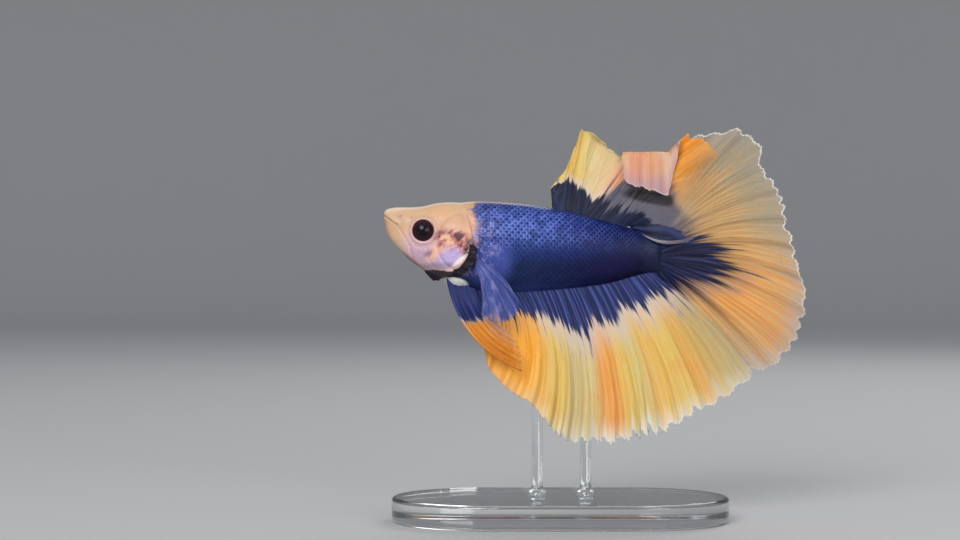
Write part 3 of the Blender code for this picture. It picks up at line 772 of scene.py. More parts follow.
def scale_roots(pitch, row_pitch):
    """The scales' centres on one side, as (along, angle above the lateral line, angle for 1 mm, size)."""
    angles = np.linspace(-math.pi / 2, math.pi / 2, 241)
    roots = []
    for row in range(-SCALE_ROWS, SCALE_ROWS + 1):
        along = SCALE_START + (0.5 * pitch if row % 2 else 0.0)
        while along < STEM_END + 0.9 - 1.6 * abs(row) / SCALE_ROWS:
            size = 1 - 0.3 * float(smooth(28.0, 44.0, along))
            line = body_point(np.full_like(angles, along), angles)
            steps = np.linalg.norm(np.diff(line, axis=0), axis=1)
            arc = np.concatenate([[0], np.cumsum(steps)])
            arc -= arc[len(arc) // 2]
            place = row * row_pitch * size
            if arc[0] - 0.1 < place < arc[-1] + 0.1:
                angle = float(np.interp(place, arc, angles))
                here = np.clip(np.searchsorted(arc, place), 1, len(arc) - 1)
                rate = (angles[here] - angles[here - 1]) / (arc[here] - arc[here - 1])
                if along > float(gill_line(np.array(angle))) + 0.75 * size:
                    roots.append((along, angle, rate, size))
            along += pitch * size
    return np.array(roots)


def make_scales(body):
    """Overlapping scales in rows along the body, their free edges to the rear, one piece a side."""
    finish = scale_finish()
    pitch, row_pitch = body.scale_pitch / MM, body.scale_row_pitch / MM
    depth, thickness = body.coat_depth / MM, body.scale_thickness / MM
    template, template_faces = scale_template()
    rearwards, across, lower = template.T
    roots = scale_roots(pitch, row_pitch)
    for label, hand in SIDES:
        draw = random.Random(SCALE_SEED + hand)
        lift = np.array([draw.uniform(0.85, 1.0) for _ in roots])[:, None]
        turn = np.array([draw.uniform(-0.06, 0.06) for _ in roots])[:, None]
        along0, angle0, rate, size = (roots[:, k][:, None] for k in range(4))
        length, width = SCALE_HALF_LENGTH * pitch * size, SCALE_HALF_WIDTH * row_pitch * size
        along = along0 + length * (rearwards - across * turn)
        angle = angle0 + width * (across + rearwards * turn) * rate
        dome = 0.03 * (1 - (rearwards**2 + across**2))
        level = -1.2 * depth * (1 - (rearwards + 1) / 2 * lift) + dome - thickness * lower
        angle = angle if hand > 0 else math.pi - angle
        relief = head_relief(along, angle, body_point(along, angle))
        points = body_point(along, angle, level + relief)
        count = len(template)
        faces = []
        for k in range(len(roots)):
            start = k * count
            for face in template_faces:
                made = [start + i for i in face]
                faces.append(made if hand > 0 else made[::-1])
        shade = np.broadcast_to(np.stack([(rearwards + 1) / 2, (across + 1) / 2], -1), (len(roots), count, 2))
        turn0 = (angle0 if hand > 0 else math.pi - angle0) / (2 * math.pi) % 1.0
        home = np.stack([0.02 + 0.96 * along0 / (STEM_END + 3), 0.02 + 0.96 * turn0], axis=-1)
        patch = home + 0.0015 * np.stack([rearwards, across], -1)[None]
        piece = mesh_piece(
            f"scales_{label}", points, faces, finish,
            {COAT_MAP: patch.reshape(-1, 2), SCALE_MAP: shade.reshape(-1, 2)},
        )
        piece.data.set_sharp_from_angle(angle=math.radians(SCALE_SHARP_DEGREES))
        settle(piece, "body_scales")


# ---------------------------------------------------------------- eyes
def eye_finish(eye):
    """Almost black, with a faint brown and violet iris round the pupil."""
    paint = Paint("betta_eye")
    place = paint.fish_place()
    flank_x, _, flank_z = paint.split(place)
    dx, dz = paint.less(flank_x, float(EYE_ALONG)), paint.less(flank_z, float(EYE_HEIGHT))
    out = paint.length(dx, dz)
    turn = paint.math("ARCTAN2", dz, dx)
    fibres = paint.noise(paint.combine(paint.times(turn, 5.0), paint.times(out, 1.2)), 2.0, 3.0)
    iris = paint.mix(paint.ease(fibres, 0.35, 0.65), tuple(eye.iris), (0.016, 0.006, 0.011))
    colour = paint.mix(paint.ease(out, 0.78, 0.9), (0.002, 0.002, 0.003), iris)
    colour = paint.mix(paint.ease(out, 1.3, 1.55), colour, (0.025, 0.008, 0.012))
    return paint.set(
        Base_Color=colour, Roughness=paint.ease(fibres, 0.2, 0.8, 0.14, 0.26), Specular_IOR_Level=0.12,
        Coat_Weight=0.06, Coat_Roughness=0.04,
    )


EYE_SHARE = 0.97  # of the solid's radius and depth
DOME_SHARE = 0.12  # of the eye's radius, raised in full
DOME_RISE = 0.08


def make_eyes(eye):
    """A flattened glossy ball on each side, its front a shallow dome over the pupil."""
    finish = eye_finish(eye)
    for label, hand in SIDES:
        low, high = box_mm(f"eye_{label}")
        centre = (low + high) / 2
        radius, depth = EYE_SHARE * (high[0] - low[0]) / 2, (high[1] - low[1]) / 2
        deselect()
        bpy.ops.mesh.primitive_uv_sphere_add(
            segments=64, ring_count=48, radius=radius * MM, location=tuple(centre * MM),
            rotation=(math.pi / 2, 0, 0), scale=(1, 1, EYE_SHARE * depth / radius),
        )
        ball = started(f"eyeball_{label}", finish)
        finish_shape(ball)
        edit_mode(ball)
        pick(
            ball,
            lambda p, v: (p.y - centre[1]) * hand > 0
            and math.hypot(p.x - centre[0], p.z - centre[2]) < DOME_SHARE * radius,
        )
        bpy.ops.transform.translate(
            value=(0, hand * DOME_RISE * MM, 0), use_proportional_edit=True,
            proportional_edit_falloff="SMOOTH", proportional_size=0.8 * radius * MM,
        )
        object_mode()
        settle(ball, "eye", f"eye_{label}")


# ---------------------------------------------------------------- gill fringes
def fringe_finish():
    paint = Paint("betta_gill_fringe")
    place = paint.fish_place()
    grain = paint.noise(place, 2.2, 3.0)
    colour = paint.mix(paint.ease(grain, 0.4, 0.7), (0.003, 0.002, 0.005), (0.014, 0.008, 0.02))
    return paint.set(
        Base_Color=colour, Roughness=paint.ease(grain, 0.3, 0.7, 0.45, 0.6),
        Normal=paint.bump(paint.noise(place, 6.0, 2.0), 0.3, 0.04), Specular_IOR_Level=0.2,
    )


FRINGE_WALL = 0.09  # the membrane's thickness
FRINGE_REACH = 0.84  # the furthest that it stands off the body


def make_gill_fringes():
    """The dark membrane that stands out in soft folds under the edge of each gill cover."""
    finish = fringe_finish()
    columns, rows = 200, 16
    for label, hand in SIDES:
        s, t = np.meshgrid(np.linspace(0, 1, columns), np.linspace(0, 1, rows), indexing="ij")
        down = np.radians(2 + 84 * s)
        angle = -down if hand > 0 else math.pi + down
        wide = (0.45 + 0.55 * smooth(0.0, 0.2, s)) * (1 - 0.4 * bump_at(s - 0.66, 0.16))
        front = gill_line(angle) - 0.5 - 1.3 * s**2
        folds = 0.05 * t * wave(1, 6 * s + 0.3 * t) + 0.02 * t * wave(17, s)
        stand_off = -0.08 + (0.6 + 0.3 * smooth(0.75, 0.95, s)) * t**0.6 * wide + folds
        edge = 0.12 * wave(5, s) + 0.07 * wave(13, s)
        along = front + (1.5 * wide + edge) * t
        points = body_point(along, angle, np.minimum(stand_off, FRINGE_REACH))
        piece = mesh_piece(f"gill_fringe_{label}", points, grid_faces(columns, rows, flip=hand < 0), finish)
        deselect()
        bpy.context.view_layer.objects.active = piece
        wall = piece.modifiers.new("wall", "SOLIDIFY")
        wall.thickness = FRINGE_WALL * MM
        wall.offset = 0
        bpy.ops.object.modifier_apply(modifier=wall.name)
        settle(piece, "gill_fringe", f"gill_membrane_{label}")


# ---------------------------------------------------------------- fin shapes
# s is the share of the rays, from the first to the last. t is 0 at the root and 1 at the edge.
# Where nothing else is said, a row of a root or an edge is such a share and its place (along, height).
def ray_point(root, tip, bow, t):
    """Points on shallow arcs from root to tip, each (along, height)."""
    chord = tip - root
    normal = np.stack([-chord[..., 1], chord[..., 0]], axis=-1)
    normal /= np.linalg.norm(normal, axis=-1, keepdims=True)
    return root + chord * t[..., None] + normal * (bow * 4 * t * (1 - t))[..., None]


def ray_place(s, rays):
    """Counts the rays across a fin, which stand a little unevenly."""
    return rays * s + np.sin(math.pi * s) * (0.55 * np.sin(14.5 * s + 1.2) + 0.25 * np.sin(36 * s))


def jagged(s, rays, depth, seed):
    """The share of its length that the fin keeps: whole at the longest ray tips, less between them."""
    draw = random.Random(seed)
    uneven = [draw.uniform(0.3, 1.0) for _ in range(rays + 1)]
    shorter = [draw.uniform(0.0, 1.0) ** 2 for _ in range(rays + 1)]
    place = ray_place(s, rays)
    u = place - np.floor(place) - 0.5
    notch = np.interp(place, np.arange(rays + 1), uneven) * np.abs(2 * u) ** 1.5
    short = np.interp(place, np.arange(rays + 1), shorter)
    twigs = 0.5 - 0.5 * np.cos(8 * math.pi * u)
    return 1 - depth * (notch + 0.22 * twigs + 0.35 * short)


def ragged_edge(root, keys, s, rays, depth, seed):
    """A fin's edge through its keys, cut back between the tips of its rays."""
    edge = np.stack(keyed(keys, s), axis=-1)
    return root + (edge - root) * jagged(s, rays, depth, seed)[..., None]


def placed(flat, side):
    """Points (along, side, height) from those of a flat fin and their distances to the side."""
    return np.stack([flat[..., 0], side, flat[..., 1]], axis=-1)


def ray_ridges(s, t, rays, splits):
    """How near each point is to a ray, 0 to 1. Each ray forks at each of the splits."""
    place = ray_place(s, rays)
    u = place - np.floor(place) - 0.5
    middle = np.zeros_like(u)
    spread = 0.25
    for split in splits:
        middle = middle + np.where(u > middle, spread, -spread) * smooth(split, split + 0.3, t)
        spread /= 2
    return bump_at(u - middle, 0.085 - 0.03 * t)


def sheet_normal(sheet):
    normal = np.cross(np.gradient(sheet, axis=0), np.gradient(sheet, axis=1))
    return normal / np.maximum(np.linalg.norm(normal, axis=-1, keepdims=True), 1e-9)


def make_fin(name, finish, point, rays, columns, rows, splits, fins, root_half=((0, 0.34),), tuck=0.05):
    """A closed fin of thin membrane between raised rays, thicker where it grows from the body.

    root_half gives half the thickness there, by share of the rays. tuck is how far the rays
    start inside the body, as a share of their length.
    """
    across = np.linspace(0, 1, columns + 1)
    outwards = np.concatenate([np.linspace(-tuck, 0, 4)[:-1], np.linspace(0, 1, rows + 1)])
    s, t = np.meshgrid(across, outwards, indexing="ij")
    sheet = point(s, t)
    normal = sheet_normal(sheet)
    ridges = ray_ridges(s, t, rays, splits)
    web, ray = fins.membrane / MM / 2, fins.ray_height / MM
    fleshy = smooth(0.16, -0.02, t) * (np.interp(s, *zip(*root_half)) - web)
    half = web + ray * ridges * smooth(1.02, 0.7, t) + fleshy
    rim = np.minimum(1, np.minimum(s, 1 - s) * columns / 4 + 0.25)
    offset = normal * (half * rim)[..., None]
    near, far = (sheet - offset).reshape(-1, 3), (sheet + offset).reshape(-1, 3)
    count, high = len(near), len(outwards)
    faces = grid_faces(columns + 1, high)
    faces += grid_faces(columns + 1, high, start=count, flip=True)
    edge = [i * high for i in range(columns + 1)]
    edge += [columns * high + j for j in range(1, high)]
    edge += [i * high + high - 1 for i in range(columns - 1, -1, -1)]
    edge += list(range(high - 2, 0, -1))
    for k, a in enumerate(edge):
        b = edge[(k + 1) % len(edge)]
        faces.append((a, count + a, count + b, b))
    own = np.tile(np.stack([s, np.maximum(t, 0)], axis=-1).reshape(-1, 2), (2, 1))
    ray_values = np.tile(ridges.ravel(), 2)
    made = mesh_piece(name, np.concatenate([near, far]), faces, finish, {FIN_MAP: own}, {"ray": ray_values})
    outward(made)
    return made


def outward(made):
    """Turns the faces outwards."""
    shape = bmesh.new()
    shape.from_mesh(made.data)
    bmesh.ops.recalc_face_normals(shape, faces=shape.faces)
    shape.to_mesh(made.data)
    shape.free()


DORSAL_ROOT = (26.9, 40.2)  # how far behind the mouth tip the first and last rays grow
# The edge is where it would be if the fin stood flat.
DORSAL_EDGE = (
    (0.0, 26.7, 53.4), (0.08, 29.3, 56.8), (0.16, 30.8, 60.6), (0.24, 32.0, 63.0), (0.31, 34.2, 62.6),
    (0.37, 36.2, 60.2), (0.41, 37.9, 58.7), (0.435, 38.7, 64.9), (0.50, 40.9, 65.8), (0.58, 43.2, 66.5),
    (0.645, 45.4, 67.3), (0.665, 46.3, 66.4), (0.70, 47.9, 60.8), (0.74, 49.0, 62.2), (0.80, 50.9, 61.4),
    (0.88, 53.6, 57.6), (0.95, 52.0, 48.8), (0.975, 51.0, 46.2), (1.0, 48.9, 44.5),
)
DORSAL_CREST = 58.1  # the middle flops over towards -Y above this height
DORSAL_CREST_RADIUS = 0.85
DORSAL_FLOP = (0.405, 0.665)  # the share of the rays where it starts and ends
DORSAL_RAYS = 13


def dorsal_point(s, t):
    out = np.maximum(t, 0)
    start = DORSAL_ROOT[0] + s * (DORSAL_ROOT[1] - DORSAL_ROOT[0])
    root = np.stack([start, body_section(start)[0] + FIN_ROOT_GAP], axis=-1)
    last = smooth(0.86, 1.0, s)
    edge = ragged_edge(root, DORSAL_EDGE, s, DORSAL_RAYS, 0.05, 5)
    flat = ray_point(root, edge, 1.2 * (s - last), t)
    low, high = DORSAL_FLOP
    crest = DORSAL_CREST + 26 * np.clip(low - s, 0, 1) + 78 * np.clip(s - high, 0, 1)
    # A flopped ray leans back as far as its tip by the time that it reaches the crest.
    top = np.maximum(np.minimum(crest, edge[..., 1]) - root[..., 1], 1.0)
    risen = np.clip((flat[..., 1] - root[..., 1]) / top, -1, 1)
    leaning = root[..., 0] + (edge[..., 0] - root[..., 0]) * risen
    along = flat[..., 0] + smooth(0.36, 0.43, s) * smooth(0.76, 0.68, s) * (leaning - flat[..., 0])
    height = flat[..., 1] - 1.5 * last * np.sin(math.pi * out**0.8)
    side = spine_side(along) + 0.55 * out * wave(3.2, s, 0.6)
    side -= 2.4 * smooth(0.68, 0.94, s) * np.sin(math.pi / 2 * np.minimum(1.0, 2.2 * out))
    side += smooth(0.68, 0.76, s) * out**2 * wave(8, s)
    side += 0.16 * out * wave(DORSAL_RAYS, s)
    over = np.maximum(height - crest, 0)
    turn = np.minimum(over / DORSAL_CREST_RADIUS, math.pi)
    drop = np.maximum(0.0, over - math.pi * DORSAL_CREST_RADIUS)
    height = np.minimum(height, crest) + DORSAL_CREST_RADIUS * np.sin(turn) - drop
    side -= DORSAL_CREST_RADIUS * (1 - np.cos(turn)) + 0.12 * drop
    side -= 1.7 * smooth(0.48, 0.62, s) * turn / math.pi
    return np.stack([along, side, height], axis=-1)


CAUDAL_CENTRE = (STEM_END, 43.0)
CAUDAL_ROOT_HALF_HEIGHT = 2.9
CAUDAL_SPREAD = (77.0, -73.0)  # degrees above the level, from the first ray to the last
# Direction in degrees above the level, and the edge's distance from the centre.
CAUDAL_REACH = (
    (-80.0, 20.8), (-73.0, 21.5), (-54.0, 24.8), (-42.0, 27.3), (-34.0, 27.4), (-26.0, 27.0),
    (-16.0, 25.9), (-4.0, 23.5), (4.0, 22.9), (14.0, 22.1), (24.0, 22.9), (38.5, 22.6), (45.0, 24.7),
    (53.5, 24.9), (62.0, 22.3), (77.0, 19.0), (80.0, 18.6),
)
CAUDAL_FOLD = (-39.0, -46.5)  # between these directions the lower lobe steps over towards +Y
CAUDAL_RAYS = 26


def caudal_point(s, t):
    out = np.maximum(t, 0)
    first, last = CAUDAL_SPREAD
    direction = first + s * (last - first)
    turn = np.radians(direction)
    forward = smooth(0.84, 1.0, s)
    half_height = CAUDAL_ROOT_HALF_HEIGHT + 0.45 * forward
    start = STEM_END + 0.3 + FIN_ROOT_GAP - 1.0 * forward - 0.8 * smooth(0.12, 0.0, s)
    root = np.stack([start, CAUDAL_CENTRE[1] - 0.1 + half_height * np.sin(turn)], axis=-1)
    reach = keyed(CAUDAL_REACH, direction)[0] * jagged(s, CAUDAL_RAYS, 0.04, 3)
    edge = np.stack([CAUDAL_CENTRE[0] + reach * np.cos(turn), CAUDAL_CENTRE[1] + reach * np.sin(turn)], -1)
    flat = ray_point(root, edge, 1.5 * np.sin(math.pi * s), t)
    side = spine_side(flat[..., 0]) + 0.55 * out * wave(12, s)
    side += 0.9 * out**2 * wave(1.4, s, 0.4)
    side += 0.1 * out * wave(CAUDAL_RAYS, s)
    folded = smooth(-CAUDAL_FOLD[0], -CAUDAL_FOLD[1], -direction)
    side += 2.5 * folded * smooth(0.0, 0.35, out)
    return placed(flat, side)


ANAL_ROOT = (14.7, 43.9)  # how far behind the mouth tip the first and last rays grow
ANAL_EDGE = (
    (0.0, 16.0, 27.8), (0.06, 16.6, 24.9), (0.13, 18.7, 22.1), (0.20, 21.6, 19.8), (0.24, 23.2, 19.0),
    (0.30, 25.4, 16.3), (0.38, 28.3, 13.0), (0.45, 30.9, 11.9), (0.56, 36.2, 11.9), (0.66, 40.6, 12.5),
    (0.75, 44.9, 13.6), (0.84, 50.0, 16.5), (0.92, 54.4, 18.8), (1.0, 60.0, 23.2),
)
ANAL_RAYS = 27


def anal_point(s, t):
    out = np.maximum(t, 0)
    along = ANAL_ROOT[0] + s * (ANAL_ROOT[1] - ANAL_ROOT[0])
    root = np.stack([along, body_section(along)[1] - FIN_ROOT_GAP], axis=-1)
    depth = 0.015 + 0.045 * smooth(0.22, 0.4, s) + 0.05 * smooth(0.46, 0.56, s) * smooth(0.84, 0.74, s)
    edge = ragged_edge(root, ANAL_EDGE, s, ANAL_RAYS, depth, 8)
    bow = 2.6 * (1 - s) * smooth(0.0, 0.2, s) + 0.9 * s
    flat = ray_point(root, edge, bow, t)
    side = spine_side(flat[..., 0]) - 0.5 * out
    side += 0.5 * smooth(0.15, 1.0, out) * wave(12, s)
    side += 0.55 * out**2 * wave(1.7, s, 2.2)
    side += 0.13 * smooth(0.1, 0.6, out) * wave(ANAL_RAYS, s)
    return placed(flat, side)


PELVIC_ROOT = ((0.0, 10.2, 1.3), (1.0, 15.0, 1.2))  # along, and distance from the middle
PELVIC_EDGE = ((0.0, 22.2, 23.6), (0.5, 22.0, 26.2), (1.0, 20.6, 29.6))
PELVIC_RAYS = 6


def pelvic_point(hand, s, t):
    out = np.maximum(t, 0)
    along, apart = keyed(PELVIC_ROOT, s)
    root = np.stack([along, belly_under(along, hand * apart) - 0.9], axis=-1)
    edge = ragged_edge(root, PELVIC_EDGE, s, PELVIC_RAYS, 0.07, 4)
    flat = ray_point(root, edge, -2.3 + 1.5 * s, t)
    flare = 0.5 * smooth(-0.02, 0.2, t) + 1.5 * out - 0.5 * s * out
    ripple = 0.25 * out * wave(1, s * 1.5 + out * 0.5)
    fold = 0.14 * smooth(0.0, 0.4, out) * wave(PELVIC_RAYS, s)
    return placed(flat, hand * (apart + flare + ripple + fold))


PECTORAL_ROOT = ((0.0, 14.9, 39.9), (1.0, 15.8, 41.6))
PECTORAL_EDGE = (
    (0.0, 15.6, 32.9), (0.3, 17.8, 31.7), (0.6, 20.4, 32.3), (0.8, 21.6, 34.4), (1.0, 20.4, 37.2),
)
PECTORAL_RAYS = 9
PECTORAL_SIDE = 3.75  # its root's distance from the middle plane, before it flares


def pectoral_point(hand, s, t):
    out = np.maximum(t, 0)
    root = np.stack(keyed(PECTORAL_ROOT, s), axis=-1)
    edge = ragged_edge(root, PECTORAL_EDGE, s, PECTORAL_RAYS, 0.04, 6)
    flat = ray_point(root, edge, 0.4, t)
    surface = PECTORAL_SIDE + 0.8 * smooth(-0.1, 0.22, t) + 0.9 * out
    ripple = 0.22 * out * wave(2.5, s) + 0.05 * out * wave(PECTORAL_RAYS, s)
    return placed(flat, hand * (surface + ripple))


# ---------------------------------------------------------------- fin finishes
GLOW_SHARE = 0.3  # of a fin wall's shading, as light that shines through it


def fin_finish(
    name,
    fins,
    rays,
    navy,
    bands,
    clear,
    see_through=((0.0, 1.0), (1.0, 1.0)),
    under=None,
    dark=None,
    line=((0.86, 0.66, 0.36), 0.35),
    tips=(0.86, ((0.0, 0.7), (1.0, 0.7)), None),
    rim=((0.0, 0.0), (1.0, 0.0)),
    cream=(0.15, 0.8, None),
    fade=((0.0, 0.0), (1.0, 0.0)),
    uneven=(0.2, 0.34),
    soft=0.03,
    shade=None,
    seed=0.0,
):
    """A membrane that goes from navy at the root through cream to its bands, with paler tips.

    Ramps named below run over the share of the rays, from the first ray to the last.
    navy: how far out the navy reaches. bands: the outer colour. see_through: scales the opacity.
    under: a colour, how far out it lies over the bands, and its strength.
    tips: where they start, their strength, and their colour. rim: strength of the white edge.
    cream: its width, strength and colour. soft: half the width of the navy's border.
    fade: how much of the opacity is lost towards the edge.
    uneven: how far broad and fine streaks move the borders of these zones along the rays.
    shade: the centre, radii and turn of a painted shadow, a dark place where a fold shades the fin.
    clear runs from root to edge: the opacity of each of the two walls.
    """
    paint = Paint(name)
    s, t = paint.own_map(FIN_MAP)
    lined = paint.combine(paint.times(s, float(rays)), paint.times(t, 0.5), seed)
    fine = paint.noise(lined, 2.7, 3.0, 0.6)
    wide = paint.noise(lined, 0.42, 2.0)
    cloud_place = paint.combine(paint.times(s, rays * 0.5), paint.times(t, 5.0), seed + 4)
    cloud = paint.noise(cloud_place, 1.0, 3.0)
    ray = paint.ray()
    ragged = paint.swing(wide, uneven[0], paint.swing(fine, uneven[1], t))
    past = paint.less(ragged, paint.ramp(s, navy))

    colour = paint.ramp(paint.swing(wide, 0.06, s), bands)
    colour = paint.mix(paint.times(paint.ease(fine, 0.52, 0.68), 0.45), colour, tuple(fins.pale))
    colour = paint.mix(paint.times(paint.ease(cloud, 0.54, 0.7), 0.35), colour, tuple(fins.orange))
    cream_width, cream_strength, cream_colour = cream
    creamy = paint.times(paint.ease(past, cream_width, 0.0), cream_strength)
    colour = paint.mix(creamy, colour, cream_colour or tuple(fins.cream))
    if under:
        tint, limit, strength = under
        below = paint.ease(paint.less(ragged, paint.ramp(s, limit)), 0.1, -0.06)
        colour = paint.mix(paint.times(below, strength), colour, tint)
    start, strengths, tip_colour = tips
    tip = paint.times(paint.ease(paint.swing(fine, 0.3, t), start, 1.02), paint.ramp(s, strengths))
    colour = paint.mix(tip, colour, tip_colour or tuple(fins.tip))
    line_colour, line_strength = line
    lined_ray = paint.times(ray, paint.ease(past, 0.0, 0.2, 0.0, line_strength))
    colour = paint.mix(lined_ray, colour, line_colour)
    night, light = dark or (tuple(fins.navy), tuple(fins.blue))
    dark_colour = paint.mix(paint.ease(paint.add(fine, paint.times(ray, 0.22)), 0.46, 0.74), night, light)
    feather = paint.times(paint.ease(fine, 0.42, 0.33), paint.ease(past, 0.24, 0.03))
    navy_share = paint.math("MAXIMUM", paint.ease(past, soft, -soft), paint.times(feather, 0.8))
    colour = paint.mix(navy_share, colour, dark_colour)
    # A painted shadow: dark where a fold above shades the fin.
    if shade:
        along, _, height = paint.split(paint.fish_place())
        shaded = paint.spot(paint.combine(along, 0.0, height), *shade)
        colour = paint.mix(
            paint.times(shaded, paint.ease(t, 0.6, 0.52, 0.0, 0.95)), colour, (0.018, 0.014, 0.02),
        )
    edge = paint.times(paint.ease(t, 0.982, 0.992), paint.ramp(s, rim))
    colour = paint.mix(edge, colour, (0.82, 0.83, 0.81))

    opacity = paint.times(paint.ramp(ragged, clear), paint.ramp(s, see_through))
    faded = paint.less(1.0, paint.times(paint.ramp(s, fade), paint.ease(ragged, 0.45, 0.92)))
    opacity = paint.times(opacity, faded)
    opacity = paint.math(
        "MAXIMUM", opacity, paint.times(paint.times(ray, faded), paint.ease(t, 0.9, 0.5, 0.25, 0.7)),
    )
    opacity = paint.math("MAXIMUM", opacity, paint.times(navy_share, 0.96))
    opacity = paint.math("MAXIMUM", opacity, paint.times(edge, 0.9))
    paint.set(
        Base_Color=colour, Roughness=paint.ease(cloud, 0.3, 0.7, 0.4, 0.55),
        Normal=paint.bump(fine, 0.35, 0.05), Specular_IOR_Level=0.22,
    )
    glow = paint.node("ShaderNodeBsdfTranslucent")
    paint.put(colour, glow.inputs["Color"])
    lit = paint.mix_shaders(GLOW_SHARE, paint.shader.outputs[0], glow.outputs[0])
    clear_air = paint.node("ShaderNodeBsdfTransparent").outputs[0]
    paint.put(paint.mix_shaders(opacity, clear_air, lit), paint.output.inputs["Surface"])
    return paint.material


def make_dorsal(fins):
    yellow = tuple(fins.yellow)
    fire, rose = (0.84, 0.34, 0.02), (0.72, 0.34, 0.22)
    finish = fin_finish(
        "betta_dorsal_fin",
        fins,
        DORSAL_RAYS,
        navy=(
            (0.0, 0.95), (0.06, 0.68), (0.1, 0.56), (0.2, 0.38), (0.3, 0.33), (0.38, 0.28), (0.43, 0.2),
            (0.5, 0.13), (0.8, 0.12), (0.88, 0.14), (0.94, 0.3), (0.965, 0.7), (0.985, 0.8), (0.991, 0.0),
        ),
        bands=(
            (0.0, yellow), (0.12, (0.76, 0.58, 0.13)), (0.2, (0.76, 0.47, 0.09)),
            (0.28, (0.72, 0.57, 0.2)), (0.36, (0.7, 0.56, 0.29)), (0.42, (0.7, 0.52, 0.29)), (0.46, rose),
            (0.6, (0.72, 0.36, 0.2)), (0.655, (0.7, 0.44, 0.36)), (0.7, (0.72, 0.4, 0.22)), (0.73, fire),
            (0.86, fire), (0.92, (0.6, 0.4, 0.2)), (0.955, (0.4, 0.34, 0.34)), (0.97, (0.27, 0.25, 0.38)),
            (1.0, (0.29, 0.27, 0.41)),
        ),
        clear=((0.0, 0.97), (0.5, 0.9), (0.85, 0.85), (1.0, 0.7)),
        see_through=((0.0, 1.0), (0.84, 1.0), (0.92, 0.8), (0.985, 0.8), (1.0, 0.95)),
        under=(
            (0.11, 0.11, 0.165),
            (
                (0.46, 0.1), (0.52, 0.3), (0.57, 0.42), (0.66, 0.46), (0.72, 0.4), (0.85, 0.42),
                (0.92, 0.56), (0.96, 0.85), (0.985, 0.9), (0.991, 0.0),
            ),
            0.95,
        ),
        dark=((0.007, 0.009, 0.026), (0.024, 0.035, 0.11)),
        line=((0.8, 0.62, 0.36), 0.2),
        tips=(
            0.76, ((0.41, 0.0), (0.44, 0.85), (0.66, 0.95), (0.71, 0.6), (0.74, 0.0)), (0.56, 0.36, 0.42),
        ),
        rim=((0.41, 0.0), (0.44, 0.5), (0.7, 0.7), (0.74, 0.1), (1.0, 0.0)),
        cream=(0.14, 0.8, None),
        fade=((0.8, 0.0), (0.88, 0.9), (0.975, 0.98), (0.99, 0.3)),
        # A painted shadow under the flopped flap.
        shade=((42.9, 51.7), (4.6, 1.0), -11),
        seed=1.0,
    )
    fin = make_fin("dorsal_fin_web", finish, dorsal_point, DORSAL_RAYS, 390, 64, (0.45,), fins, tuck=0.08)
    settle(fin, "dorsal_fin", "dorsal_fin")


def make_caudal(fins):
    olive = (0.33, 0.3, 0.19)
    finish = fin_finish(
        "betta_caudal_fin",
        fins,
        CAUDAL_RAYS,
        navy=(
            (0.0, 0.12), (0.32, 0.14), (0.42, 0.26), (0.48, 0.38), (0.56, 0.46), (0.62, 0.47),
            (0.68, 0.4), (0.76, 0.3), (0.86, 0.24), (1.0, 0.2),
        ),
        bands=(
            (0.0, olive), (0.2, (0.38, 0.32, 0.18)), (0.34, (0.45, 0.36, 0.18)),
            (0.44, (0.5, 0.36, 0.17)), (0.5, (0.6, 0.36, 0.14)), (0.56, (0.74, 0.38, 0.11)),
            (0.66, (0.8, 0.36, 0.08)), (0.75, (0.82, 0.35, 0.06)), (0.8, (0.76, 0.4, 0.12)),
            (1.0, (0.72, 0.44, 0.15)),
        ),
        clear=((0.0, 0.97), (0.45, 0.84), (0.7, 0.6), (1.0, 0.4)),
        see_through=(
            (0.0, 0.6), (0.42, 0.66), (0.54, 0.9), (0.62, 1.0), (0.77, 1.0), (0.82, 0.8), (1.0, 0.8),
        ),
        under=(
            (0.66, 0.35, 0.08),
            ((0.0, 0.5), (0.08, 0.6), (0.25, 0.72), (0.45, 0.7), (0.55, 0.66), (0.8, 0.2)), 0.7,
        ),
        dark=((0.007, 0.009, 0.03), (0.03, 0.042, 0.15)),
        line=((0.78, 0.54, 0.22), 0.6),
        tips=(0.83, ((0.0, 0.4), (0.5, 0.5), (0.68, 0.85), (1.0, 0.9)), (0.6, 0.48, 0.44)),
        rim=((0.0, 0.8), (0.5, 0.8), (0.7, 0.5), (1.0, 0.6)),
        cream=(0.24, 0.75, (0.34, 0.24, 0.23)),
        uneven=(0.26, 0.62),
        soft=0.08,
        seed=2.0,
    )
    root_half = ((0.0, 0.5), (0.2, 0.9), (0.75, 0.9), (0.9, 0.35), (1.0, 0.3))
    fin = make_fin(
        "caudal_fin_web", finish, caudal_point, CAUDAL_RAYS, 468, 60, (0.2, 0.55), fins, root_half, 0.09,
    )
    settle(fin, "caudal_fin", "caudal_fin")


